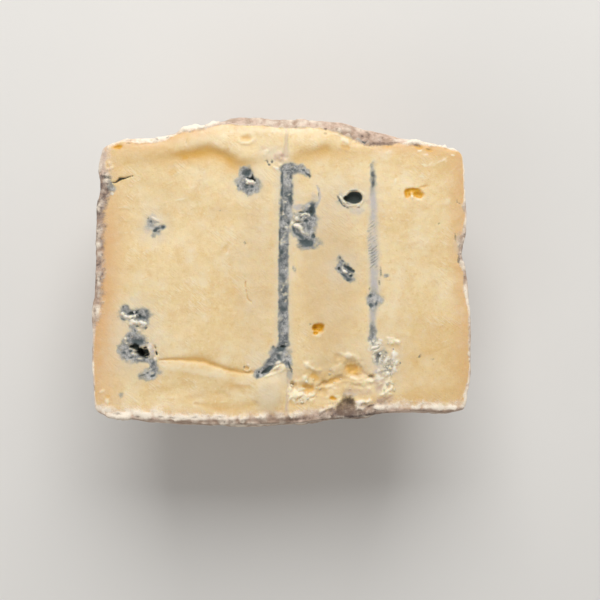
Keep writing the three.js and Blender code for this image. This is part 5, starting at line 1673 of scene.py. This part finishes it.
@dataclass
class HalfCheese:
    """The cheese itself: a drum cut in half, its relief and its stains."""

    form: DrumForm = field(default_factory=DrumForm)
    face: CutFace = field(default_factory=CutFace)
    finish: CheeseFinish = CheeseFinish()
    rim: Rim = Rim()
    mouths: NeedleMouths = NeedleMouths()
    voxel: float = 1.25
    round_sides: int = 160
    rind_height: float = 0.35
    groove_pitch: float = 4.7
    groove_first: float = -0.7
    groove_depth: float = 0.3
    finer_at_side: float = 3.0
    finer_at_end: float = 6.5
    rim_width: float = 2.6
    rim_depth: float = 1.3

    def build(self) -> bpy.types.Object:
        """Builds the piece.

        Returns:
            The finished piece.
        """
        piece = self.blank()
        self.refine(piece, self.on_face(piece))
        self.refine(piece, self.on_detail(piece))
        self.refine(piece, self.mouths.near(self.centres(piece), self.form))
        self.carve(piece)
        piece.data.materials.append(self.finish.material())
        pick(piece)
        bpy.ops.object.shade_smooth()
        return piece

    def blank(self) -> bpy.types.Object:
        """Turns a cylinder on its side, cuts it in half and meshes it evenly.

        Returns:
            The blank.
        """
        form = self.form
        bpy.ops.object.select_all(action="DESELECT")
        bpy.ops.mesh.primitive_cylinder_add(vertices=self.round_sides, radius=form.radius * MM,
                                            depth=2.0 * form.end * MM, location=(0.0, 0.0, form.cut * MM),
                                            rotation=(math.pi / 2.0, 0.0, 0.0))
        piece = bpy.context.object
        piece.name = "cheese_half"
        bpy.ops.object.transform_apply(location=True, rotation=True, scale=True)
        with editing(piece):
            bpy.ops.mesh.select_all(action="SELECT")
            bpy.ops.mesh.bisect(plane_co=(0.0, 0.0, form.cut * MM), plane_no=(0.0, 0.0, 1.0), use_fill=True,
                                clear_outer=True)
        piece.data.remesh_voxel_size = self.voxel * MM
        bpy.ops.object.voxel_remesh()
        return piece

    def on_face(self, piece: bpy.types.Object) -> Array:
        """Finds the faces of the cut face, its rim and the needle mouths.

        Args:
            piece: The blank.

        Returns:
            True for each such face.
        """
        centres = self.centres(piece)
        at_end = np.abs(centres[:, 1]) > self.form.end - 1.0
        deep = np.where(at_end, self.finer_at_end, self.finer_at_side)
        return (centres[:, 2] > self.form.cut - deep) | self.mouths.near(centres, self.form)

    def on_detail(self, piece: bpy.types.Object) -> Array:
        """Finds the faces that carry the rim, veins, pockets or torn curds.

        Args:
            piece: The blank.

        Returns:
            True for each such face.
        """
        centres = self.centres(piece)
        points, side_in, end_in = self.form.shape(centres)
        x, y = points[:, 0], points[:, 1]
        near = self.face.torn.share(x, y) > 0.3
        for spot in self.face.spots:
            if spot.tint not in GROUND and (abs(spot.rise) > 0.12 or spot.tint is DARK):
                near |= spot.away(x, y) < 1.25
        for vein in self.face.veins:
            near |= np.abs(vein.spread(x, y)[1]) < max(row[2] for row in vein.path) + 0.4
        for pit in self.face.pits:
            near |= np.minimum.reduce([spot.away(x, y) for spot in pit.mouth]) < 1.6
        near &= centres[:, 2] > self.form.cut - 0.2
        at_rim = np.minimum(side_in, end_in) < self.rim_width
        return near | (at_rim & (centres[:, 2] > self.form.cut - self.rim_depth))

    @staticmethod
    def centres(piece: bpy.types.Object) -> Array:
        """Middles of a piece's faces, in millimetres."""
        return rows_of(piece.data.polygons, "center") / MM

    @staticmethod
    def refine(piece: bpy.types.Object, chosen: Array) -> None:
        """Halves the chosen faces each way.

        Args:
            piece: The piece.
            chosen: True for each face to halve.
        """
        with editing(piece):
            bpy.ops.mesh.select_mode(type="FACE")
            bpy.ops.mesh.select_all(action="DESELECT")
        piece.data.polygons.foreach_set("select", chosen)
        with editing(piece):
            bpy.ops.mesh.subdivide(number_cuts=1)

    def carve(self, piece: bpy.types.Object) -> None:
        """Gives the blank its form, relief and masks.

        Args:
            piece: The blank, changed in place.
        """
        blank = points_of(piece)
        points, side_in, end_in = self.form.shape(blank)
        on_face = soft_step(self.form.cut - 0.9, self.form.cut - 0.05, blank[:, 2])
        side_edge = (np.abs(blank[:, 0]) / self.form.radius) ** 24
        end_edge = (np.abs(blank[:, 1]) / self.form.end) ** np.where(blank[:, 1] < 0.0, 60, 24)
        edge = np.maximum(side_edge, np.where(blank[:, 1] < 0.0, 0.4, 1.0) * end_edge)
        found = self.face.survey(points[:, 0], points[:, 1])
        wall = soft_step(self.form.cut - 4.0, self.form.cut, blank[:, 2])
        points[:, 2] += on_face * found.height * (1.0 - 0.5 * edge) - wall * self.form.edge_round * edge
        place_points(piece, points)
        x, y, z = points.T
        depth = self.form.cut - blank[:, 2]
        rim = self.rim.survey(x, y, z, side_in, end_in, on_face, depth)
        lumps = self.rind_height * Grain.layers(x, y, z, 3.2, 3)
        lumps -= 0.3 * np.maximum(Grain.lumps(x, y, z, 5.0), 0.0) ** 2
        groove = self.grooves(x, y, z, end_in, depth) * (1.0 - on_face)
        lumps -= self.groove_depth * groove
        moved = (1.0 - on_face) * lumps + rim.rise
        points += normals_of(piece) * (moved * soft_step(0.0, 1.5, z))[:, None]
        stained = self.mouths.drill(points, blank, self.form)
        points[:, 2] = np.maximum(points[:, 2], 0.0)
        place_points(piece, points)
        for name in ("crust", "bloom", "soil_and_shade", "crest", "tan"):
            keep_mask(piece, name, getattr(rim, name))
        keep_mask(piece, "groove", groove)
        for tint, share in found.shares.items():
            share = share * soft_step(0.3, 0.8, on_face)
            keep_mask(piece, tint.value, np.maximum(share, stained.get(tint, 0.0)))

    def grooves(self, x: Array, y: Array, z: Array, end_in: Array, depth: Array) -> Array:
        """Finds the prints of the draining mat on the two ends.

        Args:
            x: Place across.
            y: Place along.
            z: Place up.
            end_in: Distance in from the nearer end.
            depth: Depth below the cut.

        Returns:
            The prints, 1 in the middle of each.
        """
        off = (x - self.groove_first + 0.25 * Grain.lumps(x, y, z, 9.0)) / self.groove_pitch
        away = np.abs(off - np.round(off)) * self.groove_pitch
        worn = np.clip(0.4 + 1.1 * Grain.lumps(x, y, z, 6.0), 0.0, 1.0)
        return np.exp(-((away / 0.55) ** 2)) * fade(0.6, 2.0, end_in) * worn * soft_step(1.2, 2.8, depth)


@dataclass(frozen=True)
class CrumbPatch(Patch):
    """A patch that crumbs lie in: how many, their size and the share with mould on."""

    count: int
    size: float
    mouldy: float


@dataclass
class Crumbs:
    """Loose crumbs of curd on the torn parts of the cut face."""

    patches: tuple[CrumbPatch, ...] = (
        CrumbPatch(32.0, -26.4, 4.4, 7.0, 14, 0.26, 0.3), CrumbPatch(33.5, -36.0, 3.0, 3.6, 6, 0.36, 0.1),
        CrumbPatch(16.0, -34.5, 12.5, 5.6, 9, 0.3, 0.0), CrumbPatch(6.5, -38.0, 4.5, 3.4, 6, 0.34, 0.0),
        CrumbPatch(-45.8, -14.2, 3.8, 2.6, 7, 0.34, 0.3), CrumbPatch(-42.0, -24.6, 3.2, 3.4, 5, 0.3, 0.4))
    kinds: int = 3
    lift: float = 0.05

    def build(self, cheese: bpy.types.Object, finish: bpy.types.Material) -> bpy.types.Object:
        """Builds the crumbs as one piece.

        Args:
            cheese: The piece that they lie on.
            finish: Its finish.

        Returns:
            The finished piece.
        """
        models = [self.model(kind) for kind in range(self.kinds)]
        dice = np.random.default_rng(SEED)
        crumbs = []
        for patch in self.patches:
            for _ in range(patch.count):
                crumb = self.drop(models[int(dice.integers(self.kinds))], patch, cheese, dice)
                if crumb is not None:
                    crumbs.append(crumb)
        for model in models:
            bpy.data.objects.remove(model)
        pick(*crumbs)
        bpy.ops.object.join()
        piece = crumbs[0]
        piece.name = "curd_crumbs"
        piece.data.materials.clear()
        piece.data.materials.append(finish)
        bpy.ops.object.shade_smooth_by_angle(angle=math.radians(50.0))
        return piece

    def model(self, kind: int) -> bpy.types.Object:
        """Models one crumb of unit size.

        Args:
            kind: Which of the crumb's forms.

        Returns:
            The crumb.
        """
        bpy.ops.object.select_all(action="DESELECT")
        bpy.ops.mesh.primitive_cube_add(size=1.6 * MM, location=(0.0, 0.0, 0.0))
        model = bpy.context.object
        with editing(model):
            bpy.ops.mesh.select_all(action="SELECT")
            bpy.ops.mesh.subdivide(number_cuts=1, smoothness=0.7)
            bpy.ops.transform.resize(value=(1.0, 0.8, 0.62))
        points = points_of(model)
        lump = Grain.lumps(points[:, 0] + 9.0 * kind, points[:, 1], points[:, 2], 0.7)
        place_points(model, points * (1.0 + 0.55 * lump)[:, None])
        return model

    def drop(self, model: bpy.types.Object, patch: CrumbPatch, cheese: bpy.types.Object,
             dice: np.random.Generator) -> bpy.types.Object | None:
        """Drops a copy of a crumb on the cheese.

        Args:
            model: The crumb.
            patch: Where it falls.
            cheese: What it falls on.
            dice: Source of chance.

        Returns:
            The copy, or nothing where it misses the cheese.
        """
        off_x, off_y = dice.normal(0.0, 0.5, 2)
        x, y = patch.x + off_x * patch.rx, patch.y + off_y * patch.ry
        size = patch.size * dice.uniform(0.5, 1.5)
        turn, tip = dice.uniform(0.0, 2.0 * math.pi), dice.normal(0.0, 0.35)
        grey = dice.uniform(0.35, 0.8) if dice.uniform() < patch.mouldy else 0.0
        hit, place, _, _ = cheese.ray_cast((x * MM, y * MM, 0.1), (0.0, 0.0, -1.0))
        if not hit:
            return None
        crumb = model.copy()
        crumb.data = model.data.copy()
        bpy.context.scene.collection.objects.link(crumb)
        a, b, c = (points_of(model) * size).T
        a, c = a * math.cos(tip) - c * math.sin(tip), a * math.sin(tip) + c * math.cos(tip)
        a, b = a * math.cos(turn) - b * math.sin(turn), a * math.sin(turn) + b * math.cos(turn)
        place_points(crumb, np.column_stack((x + a, y + b, place[2] / MM + c + self.lift * size)))
        count = len(crumb.data.vertices)
        light = "chalk" if patch.mouldy > 0.2 else "white"
        keep_mask(crumb, light, np.full(count, dice.uniform(0.15, 0.7) * (1.0 - grey)))
        keep_mask(crumb, "mould", np.full(count, grey))
        return crumb


@dataclass(frozen=True)
class Lamp:
    """A soft square light aimed at the piece: place and size in metres, power in watts."""

    name: str
    place: tuple[float, float, float]
    size: float
    power: float

    def hang(self) -> None:
        """Hangs the light."""
        light = bpy.data.lights.new(self.name, "AREA")
        light.shape = "SQUARE"
        light.size = self.size
        light.energy = self.power
        lamp = bpy.data.objects.new(self.name, light)
        lamp.location = self.place
        x, y, z = self.place
        lamp.rotation_euler = (math.atan2(math.hypot(x, y), z), 0.0, math.atan2(x, -y))
        bpy.context.scene.collection.objects.link(lamp)


@dataclass(frozen=True)
class Studio:
    """Floor, light and camera."""

    view_height: float = 372.0
    frame_width: float = 600.0
    scale: float = 0.311
    aim_x: float = 5.8
    aim_y: float = -8.5
    sensor: float = 36.0
    clip_start: float = 10.0
    floor_size: float = 30000.0
    floor_drop: float = 0.3
    floor_tones: tuple[Colour, Colour] = (linear(218, 216, 212), linear(222, 220, 216))
    lamps: tuple[Lamp, ...] = (Lamp("window", (0.05, 0.75, 0.75), 0.8, 11.5),
                               Lamp("fill", (-0.5, -0.7, 0.8), 1.0, 2.5))
    room_tone: Colour = (1.0, 0.98, 0.96)
    room_strength: float = 0.32

    def build(self, cut: float) -> None:
        """Sets up the studio.

        Args:
            cut: Height of the cut face.
        """
        self.floor()
        for lamp in self.lamps:
            lamp.hang()
        self.room()
        self.camera(cut)
        bpy.context.scene.view_settings.view_transform = "Standard"

    def floor(self) -> None:
        """Lays a plain pale floor."""
        bpy.ops.object.select_all(action="DESELECT")
        place = (0.0, 0.0, -self.floor_drop * MM)
        bpy.ops.mesh.primitive_plane_add(size=self.floor_size * MM, location=place)
        plane = bpy.context.object
        plane.name = "floor"
        bench = Bench("pale_floor")
        pale, light = self.floor_tones
        sockets = {"Base Color": bench.coats(pale, (light, bench.noise(60.0))), "Roughness": 0.8}
        plane.data.materials.append(bench.finish(bench.add("ShaderNodeBsdfPrincipled", {}, sockets)))

    def room(self) -> None:
        """Fills the room with soft light."""
        world = bpy.data.worlds.new("room")
        world.use_nodes = True
        inputs = world.node_tree.nodes["Background"].inputs
        inputs["Color"].default_value = (*self.room_tone, 1.0)
        inputs["Strength"].default_value = self.room_strength
        bpy.context.scene.world = world

    def camera(self, cut: float) -> None:
        """Hangs the camera straight over the cut face.

        Args:
            cut: Height of the cut face.
        """
        lens = bpy.data.cameras.new("view")
        lens.sensor_width = self.sensor
        lens.lens = self.sensor * self.view_height / (self.frame_width * self.scale)
        lens.clip_start = self.clip_start * MM
        camera = bpy.data.objects.new("view", lens)
        camera.location = (self.aim_x * MM, self.aim_y * MM, (cut + self.view_height) * MM)
        bpy.context.scene.collection.objects.link(camera)
        bpy.context.scene.camera = camera


def main() -> None:
    """Builds the cheese and its studio."""
    logging.basicConfig(level=logging.INFO, format="%(name)s: %(message)s")
    cheese = HalfCheese()
    half = cheese.build()
    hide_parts(NODE)
    crumbs = Crumbs().build(half, half.data.materials[0])
    for piece in (half, crumbs):
        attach(piece, "root")
        log.info("%s has %d triangles", piece.name, triangle_count(piece))
    Studio().build(cheese.form.cut)


if __name__ == "__main__":
    main()
